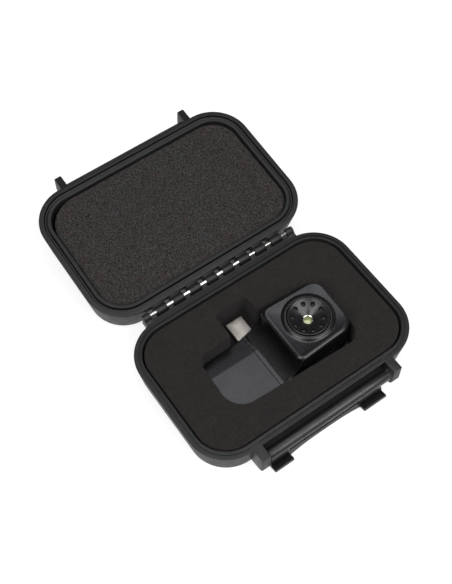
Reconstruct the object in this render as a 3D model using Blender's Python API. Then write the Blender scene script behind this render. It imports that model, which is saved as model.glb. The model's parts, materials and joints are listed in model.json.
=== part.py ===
"""Phone plug-in thermal camera lying in its fitted hard case, lid and latch open.

Frame: +Z up, X along the case's hinge, +Y towards the hinge and the opened lid. The origin is the
centre of the base's bottom face. Metres throughout; MM turns a millimetre figure into metres.
"""

import math

import bmesh
import bpy
from mathutils import Matrix, Vector

MM = 0.001

# Case, seen from above: rounded rectangles measured at the rim.
CASE_HALF_X = 45.0 * MM
CASE_HALF_Y = 29.6 * MM
CASE_CORNER = 15.0 * MM
BASE_HEIGHT = 12.2 * MM
LID_HEIGHT = 13.4 * MM
RIM_GAP = 0.25 * MM
BASE_DRAFT = 1.3 * MM
LID_DRAFT = 1.7 * MM
CORNER_STEPS = 8

# Rim bands, as insets from the outer edge.
TONGUE_OUT = 2.1 * MM
TONGUE_IN = 3.0 * MM
TONGUE_HIGH = 0.45 * MM
BASE_INNER = 3.3 * MM
GROOVE_OUT = 1.9 * MM
GROOVE_IN = 3.2 * MM
GROOVE_DEEP = 1.7 * MM
LID_INNER = 4.6 * MM
BASE_FLOOR = 1.2 * MM
LID_FLOOR = 1.8 * MM

# Hinge: nine base saddles between eight lid knuckles on one steel pin.
HINGE_Y = 32.15 * MM
HINGE_Z = 12.75 * MM
HINGE_PIN_R = 0.8 * MM
SADDLES = 9
SADDLE_PITCH = 7.15 * MM
SLOT_LONG = 2.64 * MM
HINGE_R = 2.2 * MM
HINGE_SIDE_GAP = 0.3 * MM
LUG_LONG = 1.7 * MM
LID_OPEN = math.radians(174.0)

# Front latch: a bar with two hooks, on a pin between two brackets.
LATCH_Y = -32.7 * MM
LATCH_Z = 9.0 * MM
LATCH_OPEN = math.radians(162.0)
LATCH_PIN_R = 0.6 * MM
BAR_R = 2.1 * MM
LATCH_LEFT = -25.6 * MM
LATCH_RIGHT = 23.4 * MM
HOOK_LONG = 9.2 * MM
HOOK_TIP = 8.8 * MM
HOOK_LIP = 1.0 * MM
HOOK_REACH = 1.9 * MM
PLATE_IN = -0.4 * MM
PLATE_OUT = -1.9 * MM
BRACKET_IN = 25.9 * MM
BRACKET_OUT = 29.4 * MM
BRACKET_FRONT = -34.6 * MM
PRONG_HIGH = 8.4 * MM
CATCH_REACH = 2.0 * MM

# Foam.
FOAM_TOP = 11.7 * MM
FOAM_SHEET = 0.3 * MM
LID_FOAM_DEPTH = 5.3 * MM

# Camera: a thin slab with the USB plug, rising at one end to the lens block.
CAMERA_Z = 1.65 * MM
BACK_THICK = 0.8 * MM
SLAB_TOP = 5.1 * MM
SLAB_EDGE_TOP = 4.4 * MM
SLAB_CREASE_Y = 2.25 * MM
BLOCK_TOP = 16.3 * MM
LENS_X = 13.9 * MM
LENS_Y = -2.0 * MM
RING_R = 7.4 * MM
RING_TOP = 16.6 * MM
RING_HOLE_R = 8.3 * MM
DIMPLES = 10
PLUG_X = -4.45 * MM
PLUG_Z = 3.05 * MM
PLUG_WIDE = 6.85 * MM
PLUG_THICK = 1.85 * MM
PLUG_TIP_Y = 17.3 * MM
EDGE_Y = 10.3 * MM
FLAG_PIVOT = 7.2 * MM
FLAG_OPEN = math.radians(46.0)
FIT = 0.1 * MM
ROUND = 24

COLOURS = {
    "case_plastic": ((0.035, 0.035, 0.038), 0.45, 0.0),
    "foam": ((0.030, 0.026, 0.025), 0.95, 0.0),
    "rubber": ((0.012, 0.012, 0.012), 0.7, 0.0),
    "steel": ((0.75, 0.74, 0.72), 0.25, 1.0),
    "camera_plastic": ((0.020, 0.020, 0.024), 0.35, 0.0),
    "lens_metal": ((0.05, 0.05, 0.05), 0.4, 0.6),
    "lens_glass": ((0.55, 0.68, 0.40), 0.1, 0.0),
    "board": ((0.02, 0.10, 0.05), 0.5, 0.0),
    "chip": ((0.02, 0.02, 0.02), 0.5, 0.0),
    "nickel": ((0.60, 0.58, 0.54), 0.3, 1.0),
    "brass": ((0.70, 0.50, 0.20), 0.3, 1.0),
}


def clear_scene():
    for obj in list(bpy.data.objects):
        bpy.data.objects.remove(obj)


def material(slot):
    if slot in bpy.data.materials:
        return bpy.data.materials[slot]
    colour, roughness, metallic = COLOURS[slot]
    made = bpy.data.materials.new(slot)
    made.use_nodes = True
    shader = made.node_tree.nodes["Principled BSDF"]
    shader.inputs["Base Color"].default_value = (*colour, 1.0)
    shader.inputs["Roughness"].default_value = roughness
    shader.inputs["Metallic"].default_value = metallic
    return made


def add_object(name, bm, slot, parent=None):
    """One object from a bmesh, with its faces turned outwards."""
    bmesh.ops.recalc_face_normals(bm, faces=bm.faces)
    mesh = bpy.data.meshes.new(name)
    bm.to_mesh(mesh)
    bm.free()
    mesh.shade_smooth()
    mesh.set_sharp_from_angle(angle=math.radians(35))
    obj = bpy.data.objects.new(name, mesh)
    bpy.context.scene.collection.objects.link(obj)
    obj.parent = parent
    if slot:
        mesh.materials.append(material(slot))
    return obj


def add_helper(name, bm, parent=None):
    """A shape that only serves as the other operand of a Boolean."""
    obj = add_object(name, bm, None, parent)
    obj.hide_render = True
    obj.display_type = "WIRE"
    return obj


def add_empty(name, location, tilt=0.0):
    empty = bpy.data.objects.new(name, None)
    empty.location = location
    empty.rotation_euler.x = tilt
    bpy.context.scene.collection.objects.link(empty)
    return empty


def boolean(obj, other, operation):
    modifier = obj.modifiers.new(other.name, "BOOLEAN")
    modifier.object = other
    modifier.operation = operation
    modifier.solver = "EXACT"


# Outlines: lists of (a, b) points, anticlockwise.


def arc(centre, radius, start, end, steps):
    """Points on an arc, in degrees, both ends included."""
    found = []
    for i in range(steps + 1):
        angle = math.radians(start + (end - start) * i / steps)
        found.append((centre[0] + radius * math.cos(angle), centre[1] + radius * math.sin(angle)))
    return found


def rounded_rectangle(half_x, half_y, radius, centre=(0.0, 0.0), steps=CORNER_STEPS):
    found = []
    for sx, sy, start in ((1, 1, 0), (-1, 1, 90), (-1, -1, 180), (1, -1, 270)):
        corner = (centre[0] + sx * (half_x - radius), centre[1] + sy * (half_y - radius))
        found += arc(corner, radius, start, start + 90, steps)
    return found


def rounded_polygon(corners, steps=5):
    """Outline through (a, b, radius) corners given anticlockwise, each rounded by its radius."""
    found = []
    count = len(corners)
    for i, (a, b, radius) in enumerate(corners):
        here = Vector((a, b))
        before = (Vector(corners[i - 1][:2]) - here).normalized()
        after = (Vector(corners[(i + 1) % count][:2]) - here).normalized()
        if radius <= 0:
            found.append((a, b))
            continue
        half = before.angle(after) / 2
        start = here + before * (radius / math.tan(half))
        end = here + after * (radius / math.tan(half))
        centre = here + (before + after).normalized() * (radius / math.sin(half))
        first = math.atan2(*(start - centre).yx)
        turn = math.remainder(math.atan2(*(end - centre).yx) - first, math.tau)
        for k in range(steps + 1):
            angle = first + turn * k / steps
            found.append((centre.x + radius * math.cos(angle), centre.y + radius * math.sin(angle)))
    return found


def case_outline(inset):
    return rounded_rectangle(CASE_HALF_X - inset, CASE_HALF_Y - inset, CASE_CORNER - inset)


# Solids.


def loft(bm, rings):
    """A closed skin through rings of 3-D points, with a flat cap on the first and the last."""
    made = [[bm.verts.new(point) for point in ring] for ring in rings]
    for low, high in zip(made, made[1:]):
        for i in range(len(low)):
            j = (i + 1) % len(low)
            bm.faces.new((low[i], low[j], high[j], high[i]))
    bm.faces.new(list(reversed(made[0])))
    bm.faces.new(made[-1])


def prism(bm, outline, low, high, axis="Z"):
    """Extrudes an (a, b) outline along an axis: (x, y) along Z, or (y, z) along X."""
    if axis == "Z":
        loft(bm, [[(a, b, level) for a, b in outline] for level in (low, high)])
    else:
        loft(bm, [[(level, a, b) for a, b in outline] for level in (low, high)])


def block(bm, low, high):
    outline = [(low[0], low[1]), (high[0], low[1]), (high[0], high[1]), (low[0], high[1])]
    prism(bm, outline, low[2], high[2])


def turned(bm, profile, centre, steps=ROUND):
    """Turns a closed (radius, z) profile about a vertical axis; points at radius 0 close it."""
    columns = []
    for radius, z in profile:
        if radius == 0:
            columns.append([bm.verts.new((centre[0], centre[1], z))])
            continue
        columns.append([bm.verts.new((*point, z)) for point in arc(centre, radius, 0, 360, steps)[:-1]])
    for first, second in zip(columns, columns[1:] + columns[:1]):
        for i in range(steps):
            j = (i + 1) % steps
            corners = [first[i % len(first)], first[j % len(first)]]
            corners += [second[j % len(second)], second[i % len(second)]]
            corners = list(dict.fromkeys(corners))
            if len(corners) > 2:
                bm.faces.new(corners)


def rod(bm, radius, low, high, centre, steps=16):
    """A rod along X, from x low to x high, about the (y, z) centre."""
    prism(bm, arc(centre, radius, 0, 360, steps)[:-1], low, high, "X")


def simple(name, slot, shape, *args, parent=None, **kwargs):
    bm = bmesh.new()
    shape(bm, *args, **kwargs)
    return add_object(name, bm, slot, parent)


def cup_rings(profile):
    return [[(x, y, z) for x, y in case_outline(inset)] for inset, z in profile]


# Case base.

SADDLE_X = [SADDLE_PITCH * (i - (SADDLES - 1) / 2) for i in range(SADDLES)]
LUG_START = SADDLE_X[-1] + SLOT_LONG / 2


def saddle_outline():
    """(y, z) section of a base saddle: an open cradle that holds the hinge pin from below."""
    cradle_r = HINGE_PIN_R + FIT
    centre = (HINGE_Y, HINGE_Z)
    horn = 0.35 * MM
    outer = arc(centre, HINGE_R, -125, 0, 8)
    cradle = arc(centre, cradle_r, 0, -180, 8)
    wall = CASE_HALF_Y - 1.2 * MM
    return (
        [(wall, HINGE_Z - 5.2 * MM)] + outer + [(HINGE_Y + HINGE_R, HINGE_Z + horn)]
        + [(HINGE_Y + cradle_r, HINGE_Z + horn)] + cradle
        + [(HINGE_Y - cradle_r, HINGE_Z + horn), (CASE_HALF_Y + FIT * 4, HINGE_Z + horn)]
        + [(CASE_HALF_Y + FIT * 4, BASE_HEIGHT - FIT), (wall, BASE_HEIGHT - FIT)]
    )


def lug_outline():
    """(y, z) section of the lug at each end of the hinge."""
    wall = CASE_HALF_Y - 1.2 * MM
    around = arc((HINGE_Y, HINGE_Z), HINGE_R, -125, 125, 14)
    return [(wall, HINGE_Z - 5.2 * MM)] + around + [
        (CASE_HALF_Y + FIT * 4, HINGE_Z + 0.6 * MM),
        (CASE_HALF_Y + FIT * 4, BASE_HEIGHT - FIT),
        (wall, BASE_HEIGHT - FIT),
    ]


def bracket_outline():
    """(y, z) section of a front bracket: square on top, rounded at its foot."""
    wall = -CASE_HALF_Y + 2.0 * MM
    foot_r = 2.6 * MM
    foot = (BRACKET_FRONT + foot_r, 4.6 * MM)
    return [(wall, BASE_HEIGHT), (BRACKET_FRONT, BASE_HEIGHT)] + arc(foot, foot_r, 180, 265, 6) + [
        (wall, 1.2 * MM)
    ]


def make_base_shell():
    inner_low = BASE_INNER + 0.3 * MM
    bottom_round = 1.6 * MM
    profile = [(BASE_DRAFT + bottom_round, 0.0)]
    for inset, z in arc((0, 0), bottom_round, 225, 180, 2):
        profile.append((BASE_DRAFT + bottom_round + inset, bottom_round + z))
    profile += [
        (0.0, BASE_HEIGHT - 0.5 * MM),
        (0.4 * MM, BASE_HEIGHT),
        (TONGUE_OUT - 0.25 * MM, BASE_HEIGHT),
        (TONGUE_OUT - 0.15 * MM, BASE_HEIGHT - 0.3 * MM),
        (TONGUE_OUT, BASE_HEIGHT - 0.3 * MM),
        (TONGUE_OUT + 0.1 * MM, BASE_HEIGHT + TONGUE_HIGH),
        (TONGUE_IN, BASE_HEIGHT + TONGUE_HIGH),
        (BASE_INNER, BASE_HEIGHT),
        (inner_low, BASE_FLOOR),
    ]
    bm = bmesh.new()
    loft(bm, cup_rings(profile))
    base = add_object("base_shell", bm, "case_plastic")

    bm = bmesh.new()
    half = SLOT_LONG / 2 - HINGE_SIDE_GAP
    for x in SADDLE_X[1:-1]:
        prism(bm, saddle_outline(), x - half, x + half, "X")
    for side in (-1, 1):
        ends = sorted((side * (LUG_START - 2 * half), side * LUG_START))
        prism(bm, saddle_outline(), *ends, "X")
        ends = sorted((side * BRACKET_IN, side * BRACKET_OUT))
        prism(bm, bracket_outline(), *ends, "X")
    boolean(base, add_helper("saddles_and_brackets", bm), "UNION")

    bm = bmesh.new()
    for side in (-1, 1):
        ends = sorted((side * (LUG_START - FIT), side * (LUG_START + LUG_LONG)))
        prism(bm, lug_outline(), *ends, "X")
    boolean(base, add_helper("hinge_lugs", bm), "UNION")

    bm = bmesh.new()
    reach = LUG_START + LUG_LONG - 0.5 * MM
    rod(bm, HINGE_PIN_R + FIT, -reach, reach, (HINGE_Y, HINGE_Z))
    rod(bm, LATCH_PIN_R + FIT / 2, -BRACKET_OUT - MM, BRACKET_OUT + MM, (LATCH_Y, LATCH_Z))
    boolean(base, add_helper("base_pin_holes", bm), "DIFFERENCE")


def make_pins():
    reach = LUG_START + LUG_LONG - 0.7 * MM
    simple("hinge_pin", "steel", rod, HINGE_PIN_R, -reach, reach, (HINGE_Y, HINGE_Z))
    reach = BRACKET_OUT - 0.2 * MM
    simple("latch_pin", "steel", rod, LATCH_PIN_R, -reach, reach, (LATCH_Y, LATCH_Z))


# Case lid, in its own frame: the hinge axis is the origin, +Y runs across the open lid and +Z is
# the way its open side faces.

LID_RIM = HINGE_Z - BASE_HEIGHT - RIM_GAP
LID_CENTRE_Y = HINGE_Y


def lid_rings(profile):
    """Rings at (inset, depth below the lid's rim plane)."""
    rings = []
    for inset, depth in profile:
        rings.append([(x, LID_CENTRE_Y + y, LID_RIM - depth) for x, y in case_outline(inset)])
    return rings


def make_lid_shell(lid):
    bottom_round = 2.0 * MM
    edge = LID_HEIGHT - bottom_round
    profile = [(LID_DRAFT + bottom_round, LID_HEIGHT)]
    for inset, depth in arc((0, 0), bottom_round, 135, 180, 2):
        profile.append((LID_DRAFT + bottom_round + inset, edge + depth))
    profile += [
        (0.0, 0.5 * MM),
        (0.4 * MM, 0.0),
        (GROOVE_OUT, 0.0),
        (GROOVE_OUT + 0.02 * MM, GROOVE_DEEP),
        (GROOVE_IN - 0.02 * MM, GROOVE_DEEP),
        (GROOVE_IN, 0.0),
        (LID_INNER - 0.2 * MM, 0.0),
        (LID_INNER, 0.2 * MM),
        (LID_INNER + 0.2 * MM, LID_HEIGHT - LID_FLOOR),
    ]
    bm = bmesh.new()
    loft(bm, lid_rings(profile))
    shell = add_object("lid_shell", bm, "case_plastic", lid)

    far = HINGE_Y + CASE_HALF_Y
    bm = bmesh.new()
    knuckle_half = (SADDLE_PITCH - SLOT_LONG) / 2
    near_wall = HINGE_Y - CASE_HALF_Y + 1.2 * MM
    knuckle = arc((0, 0), HINGE_R, 20, 245, 14) + [(near_wall, -4.6 * MM), (near_wall, 0.1 * MM)]
    for left, right in zip(SADDLE_X, SADDLE_X[1:]):
        middle = (left + right) / 2
        prism(bm, knuckle, middle - knuckle_half, middle + knuckle_half, "X")
    tip = -BRACKET_FRONT + HINGE_Y
    top = LID_RIM - 0.05 * MM
    prong = [(far - 1.5 * MM, top - PRONG_HIGH), (tip - 2.6 * MM, top - PRONG_HIGH)]
    prong += arc((tip - 2.6 * MM, top - PRONG_HIGH + 2.6 * MM), 2.6 * MM, -80, 0, 5)
    prong += [(tip, top), (far - 1.5 * MM, top)]
    for side in (-1, 1):
        ends = sorted((side * BRACKET_IN, side * BRACKET_OUT))
        prism(bm, prong, *ends, "X")
    boolean(shell, add_helper("knuckles_and_prongs", bm, lid), "UNION")

    bm = bmesh.new()
    catch_top = LATCH_Z + HOOK_TIP - HOOK_LIP - 0.3 * MM
    low = HINGE_Z - catch_top
    catch = [
        (far - 1.5 * MM, low),
        (far + CATCH_REACH, low),
        (far + CATCH_REACH, low + 0.6 * MM),
        (far, low + 1.6 * MM),
        (far - 1.5 * MM, low + 1.6 * MM),
    ]
    prism(bm, catch, -BRACKET_IN - FIT, BRACKET_IN + FIT, "X")
    boolean(shell, add_helper("latch_catch", bm, lid), "UNION")

    bm = bmesh.new()
    reach = SADDLE_X[-1]
    rod(bm, HINGE_PIN_R + FIT, -reach, reach, (0.0, 0.0))
    boolean(shell, add_helper("lid_pin_hole", bm, lid), "DIFFERENCE")


def make_lid_gasket(lid):
    """A square-section rubber ring in the lid's groove."""
    low = GROOVE_DEEP - FIT
    high = 0.6 * MM
    side = 0.15 * MM
    bm = bmesh.new()
    outer = GROOVE_OUT + side
    inner = GROOVE_IN - 0.3 * MM
    rings = lid_rings([(outer, low), (outer, high), (inner, high), (inner, low)])
    made = [[bm.verts.new(point) for point in ring] for ring in rings]
    for first, second in zip(made, made[1:] + made[:1]):
        for i in range(len(first)):
            j = (i + 1) % len(first)
            bm.faces.new((first[i], first[j], second[j], second[i]))
    add_object("lid_gasket", bm, "rubber", lid)


def make_lid_foam(lid):
    inset = LID_INNER + 0.5 * MM
    low = LID_HEIGHT - LID_FLOOR - FIT
    bm = bmesh.new()
    loft(bm, lid_rings([(inset, low), (inset, LID_FOAM_DEPTH)]))
    add_object("lid_foam", bm, "foam", lid)


# Foam in the base.


def recess_outline():
    """The cut-out that holds the camera, with the notch for its plug."""
    corners = [
        (-26.4, -14.8, 8.0), (25.9, -16.8, 5.0), (27.4, 10.6, 5.0), (2.6, 12.4, 0.8),
        (2.2, 19.4, 1.2), (-10.9, 19.4, 1.2), (-10.9, 9.4, 0.8), (-25.4, 9.1, 4.0),
    ]
    return rounded_polygon([(x * MM, y * MM, radius * MM) for x, y, radius in corners])


def make_base_foam():
    inset = BASE_INNER + 0.4 * MM
    sheet_low = BASE_FLOOR + FIT / 2
    sheet_high = sheet_low + FOAM_SHEET
    bm = bmesh.new()
    prism(bm, case_outline(inset), sheet_low, sheet_high)
    add_object("base_foam_sheet", bm, "foam")
    bm = bmesh.new()
    prism(bm, case_outline(inset), sheet_high + FIT / 2, FOAM_TOP)
    foam = add_object("base_foam", bm, "foam")
    bm = bmesh.new()
    prism(bm, recess_outline(), 0.0, FOAM_TOP + MM)
    boolean(foam, add_helper("foam_recess", bm), "DIFFERENCE")


# Latch, in its own frame: the pin's axis is the origin, and +Z is the way the plate points when
# it is closed against the lid.


def plate_outline():
    """(x, z) outline of the latch plate, arched between its two hooks."""
    width = LATCH_RIGHT - LATCH_LEFT
    middle = (LATCH_LEFT + LATCH_RIGHT) / 2
    arch_half = width / 2 - HOOK_LONG
    crown = 4.7 * MM
    side_z = HOOK_TIP - HOOK_LIP
    found = [(LATCH_RIGHT, 0.0), (LATCH_RIGHT, HOOK_TIP)]
    found += [(middle + arch_half, HOOK_TIP), (middle + arch_half, side_z)]
    steps = 12
    for i in range(1, steps):
        across = 1 - 2 * i / steps
        rise = (1 - math.cos(math.pi * abs(across))) / 2
        found.append((middle + arch_half * across, crown + (side_z - crown) * rise ** 1.5))
    found += [(middle - arch_half, side_z), (middle - arch_half, HOOK_TIP)]
    found += [(LATCH_LEFT, HOOK_TIP), (LATCH_LEFT, 0.0)]
    return found


def make_latch(latch):
    bm = bmesh.new()
    rod(bm, BAR_R, LATCH_LEFT, LATCH_RIGHT, (0.0, 0.0), 20)
    plate = add_object("latch", bm, "case_plastic", latch)

    bm = bmesh.new()
    outline = plate_outline()
    loft(bm, [[(x, y, z) for x, z in outline] for y in (PLATE_OUT, PLATE_IN)])
    boolean(plate, add_helper("latch_plate", bm, latch), "UNION")

    bm = bmesh.new()
    lip = [
        (PLATE_OUT, HOOK_TIP - HOOK_LIP),
        (HOOK_REACH, HOOK_TIP - HOOK_LIP),
        (HOOK_REACH, HOOK_TIP - 0.3 * MM),
        (HOOK_REACH - 0.5 * MM, HOOK_TIP),
        (PLATE_OUT + 0.4 * MM, HOOK_TIP),
    ]
    for x in (LATCH_LEFT, LATCH_RIGHT - HOOK_LONG):
        prism(bm, lip, x, x + HOOK_LONG, "X")
    boolean(plate, add_helper("latch_lips", bm, latch), "UNION")

    bm = bmesh.new()
    for x in (LATCH_LEFT, LATCH_RIGHT - HOOK_LONG):
        low = (x + 0.5 * MM, PLATE_IN - 0.7 * MM, 5.0 * MM)
        block(bm, low, (x + HOOK_LONG - 0.5 * MM, PLATE_IN + MM, HOOK_TIP - HOOK_LIP))
    boolean(plate, add_helper("hook_pockets", bm, latch), "DIFFERENCE")

    bm = bmesh.new()
    rod(bm, LATCH_PIN_R + FIT, LATCH_LEFT - MM, LATCH_RIGHT + MM, (0.0, 0.0))
    boolean(plate, add_helper("latch_pin_hole", bm, latch), "DIFFERENCE")


# Camera covers.


def camera_outline(inset=0.0):
    corners = [
        (-26.0, -14.4, 7.6), (25.0, -15.4, 5.0), (26.6, 9.6, 5.0), (2.0, EDGE_Y / MM, 1.0),
        (-11.5, EDGE_Y / MM - 1.3, 4.0), (-24.9, 8.6, 4.0),
    ]
    outline = rounded_polygon([(x * MM, y * MM, radius * MM) for x, y, radius in corners])
    middle = Vector((0.0, -2.6 * MM))
    shrunk = []
    for x, y in outline:
        offset = Vector((x, y)) - middle
        shrink = (1 - inset / (26.0 * MM), 1 - inset / (12.6 * MM))
        shrunk.append((middle.x + offset.x * shrink[0], middle.y + offset.y * shrink[1]))
    return shrunk


def slab_height(y):
    """Top of the slab: flat, then falling from the crease towards the plug's edge."""
    if y <= SLAB_CREASE_Y:
        return SLAB_TOP
    share = (y - SLAB_CREASE_Y) / (EDGE_Y - SLAB_CREASE_Y)
    return SLAB_TOP + (SLAB_EDGE_TOP - SLAB_TOP) * share


def block_outline(half_x, half_left, half_right, radius):
    """Plan of the lens block: a little narrower at the camera's end than at its middle."""
    x, y = LENS_X - 0.5 * MM, LENS_Y - 0.2 * MM
    corners = [
        (x - half_x, y - half_left, radius), (x + half_x, y - half_right, radius),
        (x + half_x, y + half_right, radius), (x - half_x, y + half_left, radius),
    ]
    return rounded_polygon(corners, 6)


def make_front_cover():
    low = CAMERA_Z + BACK_THICK + FIT
    bm = bmesh.new()
    rings = [[(x, y, low) for x, y in camera_outline()]]
    rings.append([(x, y, slab_height(y) - 0.5 * MM) for x, y in camera_outline()])
    rings.append([(x, y, slab_height(y)) for x, y in camera_outline(0.5 * MM)])
    loft(bm, rings)
    bmesh.ops.triangulate(bm, faces=[face for face in bm.faces if len(face.verts) > 4])
    cover = add_object("front_cover", bm, "camera_plastic")

    bm = bmesh.new()
    levels = [
        (low + FIT, 12.5, 12.7, 11.9, 4.8), (9.0 * MM, 12.3, 12.5, 11.6, 4.6),
        (14.2 * MM, 12.0, 12.1, 10.9, 4.2), (15.2 * MM, 11.6, 11.6, 10.4, 3.9),
        (15.9 * MM, 10.6, 10.7, 9.6, 3.4), (BLOCK_TOP, 8.9, 9.1, 8.9, 3.0),
    ]
    rings = []
    for z, half_x, half_left, half_right, radius in levels:
        outline = block_outline(half_x * MM, half_left * MM, half_right * MM, radius * MM)
        rings.append([(x, y, z) for x, y in outline])
    loft(bm, rings)
    boolean(cover, add_helper("lens_block", bm), "UNION")

    # The wall that sweeps up from the slab to the block, hollow towards the plug side.
    bm = bmesh.new()
    foot, head = -4.8 * MM, 2.2 * MM
    sweep = [(head + 2 * MM, low + 2 * FIT), (foot, low + 2 * FIT), (foot, SLAB_TOP - FIT)]
    steps = 8
    for i in range(1, steps + 1):
        share = i / steps
        rise = 1 - math.sqrt(1 - share ** 1.7) if share < 1 else 1.0
        sweep.append((foot + (head - foot) * share, SLAB_TOP + (14.6 * MM - SLAB_TOP) * rise))
    sweep.append((head + 2 * MM, 14.6 * MM))
    loft(bm, [[(x, y, z) for x, z in sweep] for y in (LENS_Y - 12.2 * MM, LENS_Y + 11.7 * MM)])
    boolean(cover, add_helper("swept_wall", bm), "UNION")

    bm = bmesh.new()
    block(bm, (-20 * MM, -12.0 * MM, 0.0), (4 * MM, 5.0 * MM, 4.1 * MM))
    boolean(cover, add_helper("slab_cavity", bm), "DIFFERENCE")
    bm = bmesh.new()
    block(bm, (2.6 * MM, -12.3 * MM, -FIT), (22.9 * MM, 7.6 * MM, 14.0 * MM))
    boolean(cover, add_helper("block_cavity", bm), "DIFFERENCE")

    bm = bmesh.new()
    turned(bm, [(0, 12 * MM), (RING_HOLE_R, 12 * MM), (RING_HOLE_R, 18 * MM), (0, 18 * MM)],
           (LENS_X, LENS_Y), 40)
    half = PLUG_WIDE / 2 + FIT
    block(bm, (PLUG_X - half, 4.0 * MM, 0.0), (PLUG_X + half, 12 * MM, PLUG_Z + PLUG_THICK / 2 + FIT))
    for x, y in COVER_SCREWS:
        turned(bm, [(0, MM), (0.55 * MM, MM), (0.55 * MM, 4.0 * MM), (0, 4.0 * MM)], (x, y), 10)
    boolean(cover, add_helper("cover_openings", bm), "DIFFERENCE")


COVER_SCREWS = [(x * MM, y * MM) for x, y in ((-22.8, -8.5), (-22.8, 4.5), (24.9, 5.6), (24.1, -9.0))]


def make_back_cover():
    top = CAMERA_Z + BACK_THICK
    bm = bmesh.new()
    prism(bm, camera_outline(0.15 * MM), CAMERA_Z, top)
    cover = add_object("back_cover", bm, "camera_plastic")
    bm = bmesh.new()
    for x, y in COVER_SCREWS:
        profile = [(0, MM), (1.1 * MM, MM), (1.1 * MM, CAMERA_Z + 0.45 * MM)]
        profile += [(0.6 * MM, CAMERA_Z + 0.45 * MM), (0.6 * MM, 4 * MM), (0, 4 * MM)]
        turned(bm, profile, (x, y), 16)
    half = PLUG_WIDE / 2 + FIT
    low = PLUG_Z - PLUG_THICK / 2 - FIT
    block(bm, (PLUG_X - half, 4.0 * MM, low), (PLUG_X + half, 12 * MM, 4 * MM))
    boolean(cover, add_helper("back_openings", bm), "DIFFERENCE")

    for number, (x, y) in enumerate(COVER_SCREWS, 1):
        head = CAMERA_Z + 0.4 * MM
        low = CAMERA_Z + 0.05 * MM
        profile = [(0, low + 0.2 * MM), (0.4 * MM, low), (0.95 * MM, low), (0.95 * MM, head)]
        profile += [(0.45 * MM, head), (0.45 * MM, 3.9 * MM), (0, 3.9 * MM)]
        simple(f"cover_screw_{number}", "steel", turned, profile, (x, y), 10)


# Lens, focus ring and what is behind them.

LENS_AXIS = (LENS_X, LENS_Y)


def make_focus_ring(focus):
    under = 14.0 * MM
    skirt_low = 11.2 * MM
    profile = [
        (2.0 * MM, under),
        (5.45 * MM, under),
        (5.45 * MM, skirt_low),
        (6.3 * MM, skirt_low),
        (6.3 * MM, 14.6 * MM),
        (RING_R - 0.1 * MM, 14.7 * MM),
        (RING_R, RING_TOP - 0.6 * MM),
        (RING_R - 0.35 * MM, RING_TOP - 0.1 * MM),
        (RING_R - 0.9 * MM, RING_TOP),
        (4.3 * MM, RING_TOP - 0.15 * MM),
        (2.1 * MM, under + 0.4 * MM),
    ]
    centred = (0.0, 0.0)
    ring = simple("focus_ring", "camera_plastic", turned, profile, centred, 40, parent=focus)
    bm = bmesh.new()
    for i in range(DIMPLES):
        angle = math.tau * i / DIMPLES
        place = (5.4 * MM * math.cos(angle), 5.4 * MM * math.sin(angle))
        low, high = RING_TOP - 0.7 * MM, RING_TOP + MM
        turned(bm, [(0, low), (0.7 * MM, low), (0.9 * MM, high), (0, high)], place, 10)
    boolean(ring, add_helper("grip_dimples", bm, focus), "DIFFERENCE")


def make_lens():
    simple("lens_bezel", "camera_plastic", turned, [
        (RING_R + 0.25 * MM, 13.2 * MM), (RING_HOLE_R - FIT, 13.2 * MM),
        (RING_HOLE_R - FIT, RING_TOP - 0.5 * MM), (RING_R + 0.35 * MM, RING_TOP - 0.5 * MM),
    ], LENS_AXIS, 40)
    mount = simple("lens_mount", "lens_metal", turned, [
        (4.5 * MM, 9.0 * MM), (5.3 * MM, 9.0 * MM), (5.3 * MM, 13.7 * MM), (4.5 * MM, 13.7 * MM),
    ], LENS_AXIS)
    bm = bmesh.new()
    for side in (-1, 1):
        foot = LENS_X + side * 2.6 * MM
        low = (foot - 0.9 * MM, LENS_Y - 6.6 * MM, 8.25 * MM)
        block(bm, low, (foot + 0.9 * MM, LENS_Y - 4.4 * MM, 10.5 * MM))
    boolean(mount, add_helper("mount_feet", bm), "UNION")
    simple("focus_seal", "rubber", turned, [
        (6.45 * MM, 13.9 * MM), (7.2 * MM, 13.9 * MM), (7.2 * MM, 14.5 * MM), (6.45 * MM, 14.5 * MM),
    ], LENS_AXIS)
    simple("lens_cell", "lens_metal", turned, [
        (1.9 * MM, 9.9 * MM), (4.35 * MM, 9.9 * MM), (4.35 * MM, 13.6 * MM), (3.0 * MM, 13.6 * MM),
        (3.0 * MM, 10.5 * MM), (1.9 * MM, 10.3 * MM),
    ], LENS_AXIS)
    simple("rear_lens", "lens_glass", turned, [
        (0, 10.6 * MM), (2.9 * MM, 10.6 * MM), (2.9 * MM, 11.2 * MM), (1.5 * MM, 11.35 * MM),
        (0, 11.4 * MM),
    ], LENS_AXIS)
    simple("lens_spacer", "lens_metal", turned, [
        (2.3 * MM, 11.45 * MM), (2.9 * MM, 11.45 * MM), (2.9 * MM, 12.15 * MM), (2.3 * MM, 12.15 * MM),
    ], LENS_AXIS)
    simple("front_lens", "lens_glass", turned, [
        (0, 12.2 * MM), (2.9 * MM, 12.2 * MM), (2.9 * MM, 12.7 * MM), (1.75 * MM, 13.15 * MM),
        (0.9 * MM, 13.35 * MM), (0, 13.42 * MM),
    ], LENS_AXIS)
    simple("lens_retainer", "lens_metal", turned, [
        (2.1 * MM, 13.1 * MM), (2.9 * MM, 12.85 * MM), (2.9 * MM, 13.5 * MM), (1.9 * MM, 13.5 * MM),
    ], LENS_AXIS)


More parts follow.
